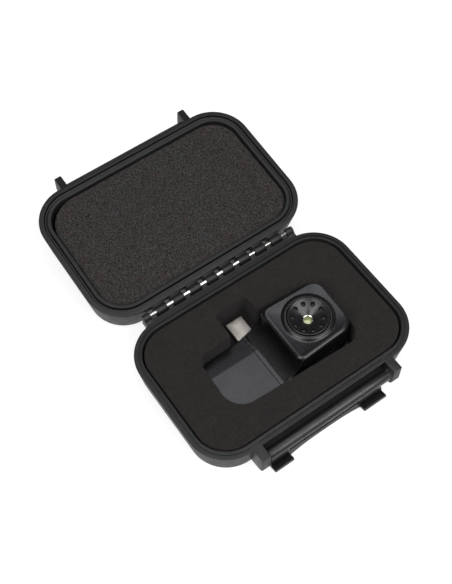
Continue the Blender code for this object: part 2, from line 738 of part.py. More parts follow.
def make_sensor():
    x, y = LENS_AXIS
    half_board, half_package, half_window = 6.5 * MM, 4.5 * MM, 3.8 * MM

    def square(name, slot, half, low, high):
        simple(name, slot, block, (x - half, y - half, low * MM), (x + half, y + half, high * MM))

    square("sensor_board", "board", half_board, 5.4, 6.0)
    square("sensor_package", "nickel", half_package, 6.1, 7.1)
    square("sensor_window", "lens_glass", half_window, 7.15, 7.5)

    pivot = (x + FLAG_PIVOT, y)
    bm = bmesh.new()
    low, high = 7.75 * MM, 8.15 * MM
    outline = rounded_rectangle(8.2 * MM, 7.2 * MM, 1.5 * MM, (x + 0.5 * MM, y), 3)
    prism(bm, outline, low, high)
    frame = add_object("shutter_frame", bm, "nickel")
    bm = bmesh.new()
    turned(bm, [(0, 7 * MM), (2.6 * MM, 7 * MM), (2.6 * MM, 9 * MM), (0, 9 * MM)], LENS_AXIS, 20)
    boolean(frame, add_helper("shutter_aperture", bm), "DIFFERENCE")
    simple("shutter_motor", "chip", turned, [
        (0.5 * MM, 9.1 * MM), (1.6 * MM, 9.1 * MM), (1.6 * MM, 10.9 * MM), (0, 10.9 * MM),
        (0, 10.6 * MM), (0.5 * MM, 10.6 * MM),
    ], pivot, 16)


def make_shutter_flag(shutter):
    """The vane that covers the sensor for a moment; its frame's origin is its pivot."""
    low, high = 8.4 * MM, 8.7 * MM
    vane_r = 2.9 * MM
    bm = bmesh.new()
    edge = arc((-FLAG_PIVOT, 0.0), vane_r, 20, 340, 16)
    edge += arc((0.0, 0.0), 0.9 * MM, -80, 80, 5)
    prism(bm, edge, low, high)
    flag = add_object("shutter_flag", bm, "nickel", shutter)
    bm = bmesh.new()
    shaft = [(0, low + FIT), (0.4 * MM, low + FIT), (0.4 * MM, 10.4 * MM), (0, 10.4 * MM)]
    turned(bm, shaft, (0.0, 0.0), 10)
    boolean(flag, add_helper("shutter_shaft", bm, shutter), "UNION")


def make_boards():
    def brick(name, slot, low, high):
        simple(name, slot, block, [v * MM for v in low], [v * MM for v in high])

    brick("main_board", "board", (-19.6, -11.6, 2.7), (22.7, 4.7, 3.2))
    brick("processor", "chip", (-18.0, -9.0, 3.25), (-12.0, -3.0, 3.55))
    brick("thermal_pad", "rubber", (-17.8, -8.8, 3.6), (-12.2, -3.2, 3.75))
    brick("memory_chip", "chip", (-6.5, -9.0, 3.3), (-1.5, -3.0, 3.9))
    brick("power_inductor", "chip", (18.5, -10.5, 3.3), (21.5, -7.5, 4.9))
    brick("board_socket", "chip", (8.5, -6.0, 3.3), (19.0, -3.6, 4.3))
    brick("board_header", "chip", (8.8, -5.8, 4.4), (18.7, -3.8, 5.3))

    bm = bmesh.new()
    block(bm, (-19.2 * MM, -10.4 * MM, 3.3 * MM), (-8.8 * MM, 0.4 * MM, 4.0 * MM))
    can = add_object("shield_can", bm, "nickel")
    bm = bmesh.new()
    block(bm, (-19.0 * MM, -10.2 * MM, 3.0 * MM), (-9.0 * MM, 0.2 * MM, 3.8 * MM))
    boolean(can, add_helper("can_inside", bm), "DIFFERENCE")


# USB plug: its mouth faces +Y.


def plug_outline(inset):
    """(x, z) section of the plug shell, with its two lower corners cut off."""
    half = PLUG_WIDE / 2 - inset
    tall = PLUG_THICK / 2 - inset
    cut = 0.7 * MM
    return [
        (PLUG_X - half, PLUG_Z + tall), (PLUG_X - half, PLUG_Z - tall + cut),
        (PLUG_X - half + cut, PLUG_Z - tall), (PLUG_X + half - cut, PLUG_Z - tall),
        (PLUG_X + half, PLUG_Z - tall + cut), (PLUG_X + half, PLUG_Z + tall),
    ]


def make_plug():
    wall = 0.25 * MM
    heel = 5.2 * MM
    stages = [(0.0, heel), (0.0, PLUG_TIP_Y), (wall, PLUG_TIP_Y), (wall, heel + 3.4 * MM)]
    bm = bmesh.new()
    loft(bm, [[(x, y, z) for x, z in plug_outline(inset)] for inset, y in stages])
    add_object("plug_shell", bm, "nickel")
    tongue_low, tongue_high = PLUG_Z - 0.05 * MM, PLUG_Z + 0.55 * MM
    root = heel + 3.5 * MM
    half = PLUG_WIDE / 2 - 0.9 * MM
    simple("plug_tongue", "chip", block, (PLUG_X - half, root, tongue_low),
           (PLUG_X + half, PLUG_TIP_Y - 0.6 * MM, tongue_high))
    low, high = tongue_low - 0.25 * MM, tongue_low - 0.05 * MM
    bm = bmesh.new()
    half = 1.6 * MM
    block(bm, (PLUG_X - half, root, low), (PLUG_X + half, root + 0.8 * MM, high))
    contacts = add_object("plug_contacts", bm, "brass")
    bm = bmesh.new()
    for i in range(5):
        x = PLUG_X + (i - 2) * 0.65 * MM
        block(bm, (x - 0.2 * MM, root + 0.4 * MM, low), (x + 0.2 * MM, PLUG_TIP_Y - 1.2 * MM, high))
    boolean(contacts, add_helper("contact_fingers", bm), "UNION")


def main():
    clear_scene()
    lid = add_empty("lid_frame", (0.0, HINGE_Y, HINGE_Z), math.pi - LID_OPEN)
    latch = add_empty("latch_frame", (0.0, LATCH_Y, LATCH_Z), LATCH_OPEN)
    focus = add_empty("focus_frame", (LENS_X, LENS_Y, 0.0))
    shutter = add_empty("shutter_frame_origin", (LENS_X + FLAG_PIVOT, LENS_Y, 0.0))
    shutter.rotation_euler.z = -FLAG_OPEN
    make_base_shell()
    make_pins()
    make_lid_shell(lid)
    make_lid_gasket(lid)
    make_lid_foam(lid)
    make_base_foam()
    make_latch(latch)
    make_front_cover()
    make_back_cover()
    make_focus_ring(focus)
    make_lens()
    make_sensor()
    make_shutter_flag(shutter)
    make_boards()
    make_plug()


main()
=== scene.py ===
"""Looks of the phone plug-in thermal camera in its open hard case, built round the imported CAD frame.

Metres throughout; MM turns a millimetre figure into metres. Case shells, camera, hinge and latch
are modelled again with fine surfaces where they show; hidden parts keep their CAD mesh and get a
material. Lid parts are made in the lid's own frame (hinge axis at the origin, +Y across the lid,
+Z out of its open side) and latch parts in the latch's (pin at the origin, +Z along the plate).
"""

import json
import math

import bmesh
import bpy
from mathutils import Matrix, Vector, noise


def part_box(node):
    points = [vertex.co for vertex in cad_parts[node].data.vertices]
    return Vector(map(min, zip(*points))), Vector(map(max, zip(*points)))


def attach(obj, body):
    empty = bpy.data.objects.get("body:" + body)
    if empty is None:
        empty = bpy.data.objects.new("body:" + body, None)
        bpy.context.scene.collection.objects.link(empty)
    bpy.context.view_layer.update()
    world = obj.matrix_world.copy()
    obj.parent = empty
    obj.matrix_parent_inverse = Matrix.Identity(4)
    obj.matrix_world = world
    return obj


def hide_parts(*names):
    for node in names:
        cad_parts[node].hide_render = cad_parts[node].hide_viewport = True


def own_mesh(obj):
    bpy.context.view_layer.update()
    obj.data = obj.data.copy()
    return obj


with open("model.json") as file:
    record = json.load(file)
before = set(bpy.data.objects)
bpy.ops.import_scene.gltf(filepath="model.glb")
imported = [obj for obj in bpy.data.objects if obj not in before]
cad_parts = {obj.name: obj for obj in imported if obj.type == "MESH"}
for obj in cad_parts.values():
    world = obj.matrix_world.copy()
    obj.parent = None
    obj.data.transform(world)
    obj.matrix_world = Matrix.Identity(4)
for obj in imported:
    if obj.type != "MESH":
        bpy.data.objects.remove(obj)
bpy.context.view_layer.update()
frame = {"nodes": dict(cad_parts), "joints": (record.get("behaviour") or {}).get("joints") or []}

MM = 0.001
JOINTS = {joint["name"]: joint for joint in frame["joints"]}
HINGE = Vector(JOINTS["lid_hinge"]["pos_m"])
LATCH = Vector(JOINTS["latch_hinge"]["pos_m"])
LENS_X, LENS_Y = JOINTS["focus_turn"]["pos_m"][:2]
LID_TILT = math.pi - math.radians(JOINTS["lid_hinge"]["range_deg"][1])
LATCH_TILT = -math.radians(JOINTS["latch_hinge"]["range_deg"][0])
LID_FRAME = Matrix.Translation(HINGE) @ Matrix.Rotation(LID_TILT, 4, "X")
LATCH_FRAME = Matrix.Translation(LATCH) @ Matrix.Rotation(LATCH_TILT, 4, "X")

# Case. Its size is the CAD's; the hinge (barrel, flange, lug) is slimmer than the CAD's.
CASE_HALF_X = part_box("lid_shell")[1].x
CASE_HALF_Y = 29.6 * MM
CASE_CORNER = 15.0 * MM
BASE_HEIGHT = 12.2 * MM
LID_HEIGHT = 13.4 * MM
BASE_DRAFT = 1.3 * MM
LID_DRAFT = 1.7 * MM
BASE_FLOOR = 1.2 * MM
LID_FLOOR = 1.8 * MM
LID_RIM = 0.3 * MM
BARREL_R = 1.35 * MM
FLANGE_BACK = 30.6 * MM
HINGE_PIN_R = 0.8 * MM
SADDLE_PITCH = 7.15 * MM
SLOT_LONG = 2.64 * MM
SADDLE_X = [SADDLE_PITCH * (i - 4) for i in range(9)]
LUG_START = SADDLE_X[-1] + SLOT_LONG / 2
LUG_LONG = 2.8 * MM
BRACKET_IN = 25.9 * MM
BRACKET_OUT = 29.4 * MM
BRACKET_FRONT = -34.6 * MM
PRONG_HIGH = 8.4 * MM

# Latch.
LATCH_LEFT = -25.6 * MM
LATCH_RIGHT = 24.5 * MM
LATCH_PIN_R = 0.6 * MM
BAR_R = 2.1 * MM
HOOKS = ((-25.6 * MM, -17.7 * MM), (12.4 * MM, 22.1 * MM))
HOOK_TIP = 8.3 * MM
HOOK_LIP = 1.3 * MM
HOOK_REACH = 1.9 * MM
PLATE_IN = -0.4 * MM
PLATE_OUT = -1.9 * MM

# Foam and camera.
FOAM_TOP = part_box("base_foam")[1].z
COVER_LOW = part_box("front_cover")[0].z
SLAB_TOP = 5.1 * MM
SLAB_EDGE_TOP = 4.4 * MM
SLAB_CREASE_Y = 2.25 * MM
EDGE_Y = 10.3 * MM
RING_R = 7.4 * MM
RING_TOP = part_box("focus_ring")[1].z
RING_HOLE_R = 8.3 * MM
DIMPLES = 10
PLUG_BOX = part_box("plug_shell")
PLUG_X = (PLUG_BOX[0].x + PLUG_BOX[1].x) / 2
PLUG_Z = (PLUG_BOX[0].z + PLUG_BOX[1].z) / 2
PLUG_WIDE = PLUG_BOX[1].x - PLUG_BOX[0].x
PLUG_THICK = PLUG_BOX[1].z - PLUG_BOX[0].z

CORNER_STEPS = 24
ROUND = 96


# Outlines: lists of (a, b) points, anticlockwise.


def arc(centre, radius, start, end, steps):
    """Points on an arc, in degrees, both ends included."""
    found = []
    for i in range(steps + 1):
        angle = math.radians(start + (end - start) * i / steps)
        found.append((centre[0] + radius * math.cos(angle), centre[1] + radius * math.sin(angle)))
    return found


def rounded_rectangle(half_x, half_y, radii, centre=(0.0, 0.0), steps=CORNER_STEPS):
    """radii: one radius, or four, from the (+, +) corner anticlockwise."""
    if not isinstance(radii, (list, tuple)):
        radii = [radii] * 4
    found = []
    for (sx, sy, start), radius in zip(((1, 1, 0), (-1, 1, 90), (-1, -1, 180), (1, -1, 270)), radii):
        corner = (centre[0] + sx * (half_x - radius), centre[1] + sy * (half_y - radius))
        found += arc(corner, radius, start, start + 90, steps)
    return found


def rounded_polygon(corners, steps=10):
    """Outline through (a, b, radius) corners given anticlockwise, each rounded by its radius."""
    found = []
    count = len(corners)
    for i, (a, b, radius) in enumerate(corners):
        here = Vector((a, b))
        before = (Vector(corners[i - 1][:2]) - here).normalized()
        after = (Vector(corners[(i + 1) % count][:2]) - here).normalized()
        if radius <= 0:
            found.append((a, b))
            continue
        half = before.angle(after) / 2
        start = here + before * (radius / math.tan(half))
        end = here + after * (radius / math.tan(half))
        centre = here + (before + after).normalized() * (radius / math.sin(half))
        first = math.atan2(*(start - centre).yx)
        turn = math.remainder(math.atan2(*(end - centre).yx) - first, math.tau)
        for k in range(steps + 1):
            angle = first + turn * k / steps
            found.append((centre.x + radius * math.cos(angle), centre.y + radius * math.sin(angle)))
    return found


def case_outline(inset):
    return rounded_rectangle(CASE_HALF_X - inset, CASE_HALF_Y - inset, CASE_CORNER - inset)


# Meshes.


def loft(bm, rings, closed=False):
    """A skin through rings of 3-D points, with caps, or joined end to end if closed."""
    made = [[bm.verts.new(point) for point in ring] for ring in rings]
    pairs = list(zip(made, made[1:] + made[:1])) if closed else list(zip(made, made[1:]))
    for low, high in pairs:
        for i in range(len(low)):
            j = (i + 1) % len(low)
            bm.faces.new((low[i], low[j], high[j], high[i]))
    if not closed:
        bm.faces.new(list(reversed(made[0])))
        bm.faces.new(made[-1])


def prism(bm, outline, low, high, axis="Z"):
    """Extrudes an (a, b) outline along an axis: (x, y) along Z, (y, z) along X, (x, z) along Y."""
    place = {
        "Z": lambda a, b, level: (a, b, level),
        "X": lambda a, b, level: (level, a, b),
        "Y": lambda a, b, level: (a, level, b),
    }[axis]
    loft(bm, [[place(a, b, level) for a, b in outline] for level in (low, high)])


def block(bm, low, high):
    outline = [(low[0], low[1]), (high[0], low[1]), (high[0], high[1]), (low[0], high[1])]
    prism(bm, outline, low[2], high[2])


def turned(bm, profile, centre, steps=ROUND, start=0.0):
    """Turns a closed (radius, z) profile about a vertical axis; points at radius 0 close it."""
    columns = []
    for radius, z in profile:
        if radius == 0:
            columns.append([bm.verts.new((centre[0], centre[1], z))])
            continue
        ring = arc(centre, radius, start, start + 360, steps)[:-1]
        columns.append([bm.verts.new((*point, z)) for point in ring])
    for first, second in zip(columns, columns[1:] + columns[:1]):
        for i in range(steps):
            j = (i + 1) % steps
            corners = [first[i % len(first)], first[j % len(first)]]
            corners += [second[j % len(second)], second[i % len(second)]]
            corners = list(dict.fromkeys(corners))
            if len(corners) > 2:
                bm.faces.new(corners)


def rod(bm, radius, low, high, centre, steps=48, end_round=0.0):
    """A rod along X about the (y, z) centre, with rounded ends."""
    near, less = end_round * 0.3, radius - end_round
    levels = [(low, less), (low + near, radius - near)] if end_round else []
    levels += [(low + end_round, radius), (high - end_round, radius)]
    if end_round:
        levels += [(high - near, radius - near), (high, less)]
    loft(bm, [[(x, a, b) for a, b in arc(centre, r, 0, 360, steps)[:-1]] for x, r in levels])


def bevel(bm, width, segments=2, angle=30):
    """Rounds every edge of a shape that turns by more than an angle."""
    bmesh.ops.recalc_face_normals(bm, faces=bm.faces)
    sharp = [edge for edge in bm.edges if edge.is_manifold and edge.calc_face_angle() > math.radians(angle)]
    bmesh.ops.bevel(
        bm, geom=sharp, offset=width, segments=segments, profile=0.5, affect="EDGES", clamp_overlap=True
    )


def shape(draw, *args, rounding=0.0, **kwargs):
    bm = bmesh.new()
    draw(bm, *args, **kwargs)
    if rounding:
        bevel(bm, rounding)
    return bm


def make(name, bm, place=None, smooth=35):
    """An object from a bmesh, moved into the row frame."""
    bmesh.ops.recalc_face_normals(bm, faces=bm.faces)
    mesh = bpy.data.meshes.new(name)
    bm.to_mesh(mesh)
    bm.free()
    if place:
        mesh.transform(place)
    mesh.shade_smooth()
    mesh.set_sharp_from_angle(angle=math.radians(smooth))
    obj = bpy.data.objects.new(name, mesh)
    bpy.context.scene.collection.objects.link(obj)
    return obj


def apply_modifiers(obj, smooth=35):
    graph = bpy.context.evaluated_depsgraph_get()
    mesh = bpy.data.meshes.new_from_object(obj.evaluated_get(graph))
    obj.modifiers.clear()
    old = obj.data
    obj.data = mesh
    mesh.name = obj.name
    bpy.data.meshes.remove(old)
    mesh.shade_smooth()
    mesh.set_sharp_from_angle(angle=math.radians(smooth))


def combine(obj, operation, tools, smooth=35):
    """Adds or cuts each tool with a Boolean, and then removes the tools."""
    for tool in tools:
        modifier = obj.modifiers.new(tool.name, "BOOLEAN")
        modifier.object = tool
        modifier.operation = operation
        modifier.solver = "EXACT"
    bpy.context.view_layer.update()
    apply_modifiers(obj, smooth)
    for tool in tools:
        mesh = tool.data
        bpy.data.objects.remove(tool)
        bpy.data.meshes.remove(mesh)


def remesh(obj, voxel, smoothing, smooth=35):
    modifier = obj.modifiers.new("Remesh", "REMESH")
    modifier.mode = "VOXEL"
    modifier.voxel_size = voxel
    if smoothing:
        relax = obj.modifiers.new("Smooth", "SMOOTH")
        relax.factor = 0.5
        relax.iterations = smoothing
    apply_modifiers(obj, smooth)


def finish_piece(obj, body, slot, look, *nodes):
    obj.data.materials.clear()
    obj.data.materials.append(look)
    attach(obj, body)
    if nodes:
        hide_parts(*nodes)
    return obj


# Materials.


class Nodes:
    """Short names for making the node tree of one material."""

    def __init__(self, name):
        self.material = bpy.data.materials.new(name)
        self.material.use_nodes = True
        self.tree = self.material.node_tree
        self.shader = self.tree.nodes["Principled BSDF"]
        self.place = self.node("ShaderNodeTexCoord").outputs["Object"]

    def node(self, kind, **values):
        made = self.tree.nodes.new(kind)
        for key, value in values.items():
            if key in made.inputs:
                made.inputs[key].default_value = value
            else:
                setattr(made, key, value)
        return made

    def link(self, start, end):
        self.tree.links.new(start, end)

    def stretched(self, scale):
        mapping = self.node("ShaderNodeMapping")
        mapping.inputs["Scale"].default_value = scale
        self.link(self.place, mapping.inputs["Vector"])
        return mapping.outputs["Vector"]

    def noise(self, size, detail=2.0, rough=0.5, place=None):
        """Noise whose blobs are about size across, 0 to 1."""
        made = self.node("ShaderNodeTexNoise", Scale=1 / size, Detail=detail, Roughness=rough)
        self.link(place or self.place, made.inputs["Vector"])
        return made.outputs["Fac"]

    def cells(self, size):
        made = self.node("ShaderNodeTexVoronoi", Scale=1 / size)
        self.link(self.place, made.inputs["Vector"])
        return made.outputs["Distance"]

    def ramp(self, source, low, high, start=0.0, end=1.0):
        """Maps a value between start and end onto low to high, which may be colours."""
        if isinstance(low, tuple):
            made = self.node("ShaderNodeValToRGB")
            made.color_ramp.elements[0].position = start
            made.color_ramp.elements[0].color = (*low, 1.0)
            made.color_ramp.elements[1].position = end
            made.color_ramp.elements[1].color = (*high, 1.0)
            self.link(source, made.inputs["Fac"])
            return made.outputs["Color"]
        made = self.node("ShaderNodeMapRange")
        for key, value in (("From Min", start), ("From Max", end), ("To Min", low), ("To Max", high)):
            made.inputs[key].default_value = value
        self.link(source, made.inputs["Value"])
        return made.outputs["Result"]

    def mix(self, factor, first, second, blend="MIX"):
        made = self.node("ShaderNodeMix", data_type="RGBA", blend_type=blend)
        for value, socket in ((factor, made.inputs[0]), (first, made.inputs[6]), (second, made.inputs[7])):
            if isinstance(value, (int, float)):
                socket.default_value = value
            elif isinstance(value, tuple):
                socket.default_value = (*value, 1.0)
            else:
                self.link(value, socket)
        return made.outputs[2]

    def math(self, operation, first, second=0.0):
        made = self.node("ShaderNodeMath", operation=operation)
        for value, socket in ((first, made.inputs[0]), (second, made.inputs[1])):
            if isinstance(value, (int, float)):
                socket.default_value = value
            else:
                self.link(value, socket)
        return made.outputs[0]

    def bump(self, height, depth):
        made = self.node("ShaderNodeBump", Distance=depth, Strength=1.0)
        self.link(height, made.inputs["Height"])
        return made.outputs["Normal"]

    def set(self, **sockets):
        names = {"colour": "Base Color", "rough": "Roughness", "normal": "Normal", "metal": "Metallic",
                 "specular": "Specular IOR Level", "coat": "Coat Weight", "coat_rough": "Coat Roughness",
                 "sheen": "Sheen Weight", "sheen_rough": "Sheen Roughness", "aniso": "Anisotropic"}
        for key, value in sockets.items():
            socket = self.shader.inputs[names[key]]
            if isinstance(value, (int, float)):
                socket.default_value = value
            elif isinstance(value, tuple):
                socket.default_value = (*value, 1.0)
            else:
                self.link(value, socket)
        return self.material


def painted_edge_highlight(n, colour, edge_highlight_colour, start=0.53, end=0.60):
    """Paints convex edges a little lighter, broken up by noise: a painted edge highlight."""
    edge = n.node("ShaderNodeNewGeometry").outputs["Pointiness"]
    edges = n.ramp(edge, 0.0, 1.0, start, end)
    strength = n.math("MULTIPLY", edges, n.ramp(n.noise(1.5 * MM), 0.1, 0.9, 0.35, 0.65))
    return n.mix(strength, colour, edge_highlight_colour)


def moulded_plastic(name, dark, light, rough, grain=0.25, depth=0.006, edge_highlight_colour=None, marks=0.05, specular=0.5):
    """Satin moulded plastic: a spark-eroded grain, faint blotches, a painted highlight on convex edges and
    fine handling marks.
    """
    n = Nodes(name)
    colour = n.ramp(n.noise(9 * MM, 3), dark, light, 0.3, 0.7)
    # Convex edges get a lighter colour: a painted edge highlight.
    if edge_highlight_colour:
        colour = painted_edge_highlight(n, colour, edge_highlight_colour)
    handled = n.noise(4 * MM, 4, 0.6)
    fine = n.noise(grain * MM, 3, 0.6)
    handling = n.ramp(handled, rough - marks, rough + marks, 0.35, 0.65)
    roughness = n.math("ADD", handling, n.ramp(fine, -0.03, 0.03))
    normal = n.bump(fine, depth * MM)
    return n.set(colour=colour, rough=roughness, normal=normal, specular=specular)


def fine_foam(name):
    """Fine closed-cell foam: tiny cells, a faint cross grain from the slicing wire, a few specks of lint."""
    n = Nodes(name)
    cells = n.cells(0.24 * MM)
    colour = n.ramp(cells, (0.0085, 0.0070, 0.0067), (0.0155, 0.0130, 0.0125), 0.15, 0.75)
    threads = n.noise(0.32 * MM, 1, 0.4, n.stretched((1.0, 0.14, 1.0)))
    across = n.noise(0.32 * MM, 1, 0.4, n.stretched((0.14, 1.0, 1.0)))
    weave = n.math("ADD", threads, across)
    colour = n.mix(n.ramp(weave, 0.0, 0.6, 0.85, 1.2), colour, (0.022, 0.0185, 0.018))
    colour = n.mix(n.ramp(n.noise(12 * MM, 2), 0.0, 0.5, 0.4, 0.7), colour, (0.0130, 0.0120, 0.0115))
    lint = n.ramp(n.cells(3.4 * MM), 1.0, 0.0, 0.015, 0.04)
    colour = n.mix(lint, colour, (0.14, 0.13, 0.12))
    height = n.math("ADD", cells, n.math("MULTIPLY", weave, 0.5))
    return n.set(colour=colour, rough=0.95, specular=0.15, normal=n.bump(height, 0.05 * MM),
                 sheen=0.03, sheen_rough=0.6)


def coarse_foam(name):
    """Open-cell foam: pores painted dark as painted shade in the open cells, between lighter struts, tinted
    brown and violet in patches.
    """
    n = Nodes(name)
    small = n.math("MULTIPLY", n.noise(0.26 * MM, 1), 0.4)
    large = n.math("MULTIPLY", n.noise(0.5 * MM, 3, 0.7), 0.6)
    pores = n.math("ADD", small, large)
    # Both ramps paint the pores near black: painted shade in the open cells; the same noise also bumps the
    # surface.
    grey = n.ramp(pores, (0.0015, 0.0016, 0.0015), (0.0420, 0.0420, 0.0400), 0.42, 0.60)
    brown = n.ramp(pores, (0.0018, 0.0012, 0.0012), (0.0450, 0.0350, 0.0330), 0.42, 0.60)
    colour = n.mix(n.ramp(n.noise(2.6 * MM, 3, 0.7), 0.0, 1.0, 0.40, 0.60), grey, brown)
    glints = n.ramp(n.noise(0.30 * MM, 1), 0.0, 1.0, 0.62, 0.70)
    colour = n.mix(glints, colour, (0.085, 0.082, 0.080))
    return n.set(colour=colour, rough=0.9, specular=0.2, normal=n.bump(pores, 0.16 * MM))


def rubber(name):
    n = Nodes(name)
    colour = n.ramp(n.noise(2 * MM, 3), (0.006, 0.006, 0.006), (0.012, 0.012, 0.012), 0.3, 0.7)
    fine = n.noise(0.15 * MM, 2)
    return n.set(colour=colour, rough=n.ramp(fine, 0.5, 0.65), normal=n.bump(fine, 0.004 * MM))


def metal(name, dark, light, rough, along, depth=0.0015):
    """Drawn or rolled metal: fine lines that run along one axis, and slight tarnish in patches."""
    n = Nodes(name)
    stretch = [1.0, 1.0, 1.0]
    stretch[along] = 0.06
    lines = n.noise(0.08 * MM, 3, 0.6, n.stretched(tuple(stretch)))
    tarnish = n.noise(1.6 * MM, 3, 0.6)
    colour = n.ramp(tarnish, dark, light, 0.35, 0.65)
    roughness = n.math("ADD", n.ramp(lines, rough - 0.07, rough + 0.07), n.ramp(tarnish, 0.04, -0.04))
    return n.set(colour=colour, rough=roughness, metal=1.0, normal=n.bump(lines, depth * MM))


def germanium(name):
    """Coated infrared glass: opaque, with a greenish yellow sheen that varies a little over the dome."""
    n = Nodes(name)
    sheen = n.ramp(n.noise(1.3 * MM, 1), (0.22, 0.26, 0.115), (0.31, 0.34, 0.17), 0.3, 0.7)
    return n.set(colour=sheen, rough=0.16, metal=0.35, coat=0.6, coat_rough=0.05)


def circuit_board(name):
    n = Nodes(name)
    grid = n.node("ShaderNodeTexBrick", Scale=900.0)
    n.link(n.place, grid.inputs["Vector"])
    colour = n.mix(n.ramp(grid.outputs["Fac"], 0.0, 0.6), (0.010, 0.060, 0.028), (0.020, 0.110, 0.050))
    rough = n.ramp(n.noise(0.5 * MM, 2), 0.35, 0.5)
    return n.set(colour=colour, rough=rough, normal=n.bump(grid.outputs["Fac"], 0.01 * MM))


LATCH_BLACK = moulded_plastic(
    "latch_black", (0.0060, 0.0060, 0.0062), (0.0075, 0.0075, 0.0077), rough=0.36, grain=0.22, depth=0.005
)
# The light edge colour below is a painted highlight on convex edges.
CASE_BLACK = moulded_plastic(
    "case_black", (0.0070, 0.0070, 0.0072), (0.0090, 0.0090, 0.0092), rough=0.48, grain=0.28, depth=0.008,
    edge_highlight_colour=(0.018, 0.018, 0.019), specular=0.36,
)
CAMERA_BLACK = moulded_plastic(
    "camera_black", (0.0030, 0.0030, 0.0035), (0.0038, 0.0038, 0.0044), rough=0.27, grain=0.16,
    depth=0.0025, marks=0.02,
)
RING_BLACK = moulded_plastic(
    "ring_black", (0.006, 0.006, 0.006), (0.008, 0.008, 0.008), rough=0.30, grain=0.12, depth=0.003,
    marks=0.02,
)
FINE_FOAM = fine_foam("fine_foam")
COARSE_FOAM = coarse_foam("coarse_foam")
RUBBER = rubber("seal_rubber_look")
STEEL = metal("drawn_steel", (0.62, 0.61, 0.59), (0.74, 0.73, 0.70), 0.24, 0)
NICKEL = metal("rolled_nickel", (0.50, 0.465, 0.42), (0.60, 0.56, 0.51), 0.55, 1)
BRASS = metal("contact_gold", (0.62, 0.42, 0.15), (0.80, 0.58, 0.24), 0.25, 1)
POLISHED = metal("polished_ring", (0.60, 0.58, 0.53), (0.72, 0.70, 0.65), 0.18, 2)
LENS_METAL = metal("black_anodised", (0.020, 0.020, 0.021), (0.032, 0.032, 0.034), 0.38, 2)
GLASS = germanium("coated_germanium")
BOARD = circuit_board("circuit_board")
CHIP = moulded_plastic("chip_epoxy", (0.012, 0.012, 0.012), (0.02, 0.02, 0.02), 0.5, 0.1, 0.004)

NODE_LOOKS = {
    "back_cover": CAMERA_BLACK, "focus_seal": RUBBER, "thermal_pad": RUBBER,
    "lens_mount": LENS_METAL, "lens_cell": LENS_METAL, "lens_spacer": LENS_METAL,
    "rear_lens": GLASS, "sensor_window": GLASS, "sensor_board": BOARD, "main_board": BOARD,
    "sensor_package": NICKEL, "shutter_frame": NICKEL, "shutter_flag": NICKEL, "shield_can": NICKEL,
    "shutter_motor": CHIP, "processor": CHIP, "memory_chip": CHIP, "power_inductor": CHIP,
    "board_socket": CHIP, "board_header": CHIP, "plug_tongue": CHIP, "plug_contacts": BRASS,
    "cover_screw_1": STEEL, "cover_screw_2": STEEL, "cover_screw_3": STEEL, "cover_screw_4": STEEL,
}


def dress_cad_nodes():
    for name, look in NODE_LOOKS.items():
        mesh_slots = frame["nodes"][name].material_slots
        for slot in mesh_slots:
            slot.material = look
        if not mesh_slots:
            frame["nodes"][name].data.materials.append(look)


# Case base.


def saddle_outline():
    """(y, z) section of a base saddle: an open cradle that holds the hinge pin from below."""
    cradle_r = HINGE_PIN_R + 0.1 * MM
    foot = [(-3.7, -5.0), (1.2, -4.4), (0.8, -1.4)]
    back = [(-1.2, -0.55), (-3.7, -0.62)]
    foot, back = ([(HINGE.y + y * MM, HINGE.z + z * MM) for y, z in part] for part in (foot, back))
    return foot + arc((HINGE.y, HINGE.z), cradle_r, -48, -150, 14) + back


def lug_outline():
    """(y, z) section of the closed lug at each end of the hinge."""
    around = arc((HINGE.y, HINGE.z), BARREL_R, -60, 170, 32)
    back = [(-2.0, -0.50), (-3.8, -0.65), (-3.8, -5.1), (1.2, -4.3)]
    return around + [(HINGE.y + y * MM, HINGE.z + z * MM) for y, z in back]


def bracket_outline():
    """(y, z) section of a front bracket: square on top, rounded at its foot."""
    wall = -CASE_HALF_Y + 2.0 * MM
    foot_r = 2.6 * MM
    foot = arc((BRACKET_FRONT + foot_r, 4.6 * MM), foot_r, 180, 265, 14)
    return [(wall, BASE_HEIGHT), (BRACKET_FRONT, BASE_HEIGHT)] + foot + [(wall, 1.2 * MM)]


def base_profile():
    """(inset, z) section of the base's wall, from its underside round the rim to its floor."""
    top = BASE_HEIGHT
    high = top + 0.25 * MM
    round_r = 1.6 * MM
    points = arc((BASE_DRAFT + round_r, round_r), round_r, 270, 180, 8)
    points += arc((0.35 * MM, top - 0.35 * MM), 0.35 * MM, 180, 90, 5)
    points += [(1.36 * MM, top), (1.42 * MM, top - 0.3 * MM), (1.56 * MM, top - 0.3 * MM), (1.62 * MM, top)]
    points += [(1.95 * MM, top)] + arc((2.25 * MM, high - 0.2 * MM), 0.2 * MM, 180, 90, 4)
    points += arc((2.62 * MM, high - 0.2 * MM), 0.2 * MM, 90, 20, 4)
    points += [(2.92 * MM, top - 0.02 * MM), (3.0 * MM, top - 0.2 * MM), (3.5 * MM, BASE_FLOOR)]
    return points


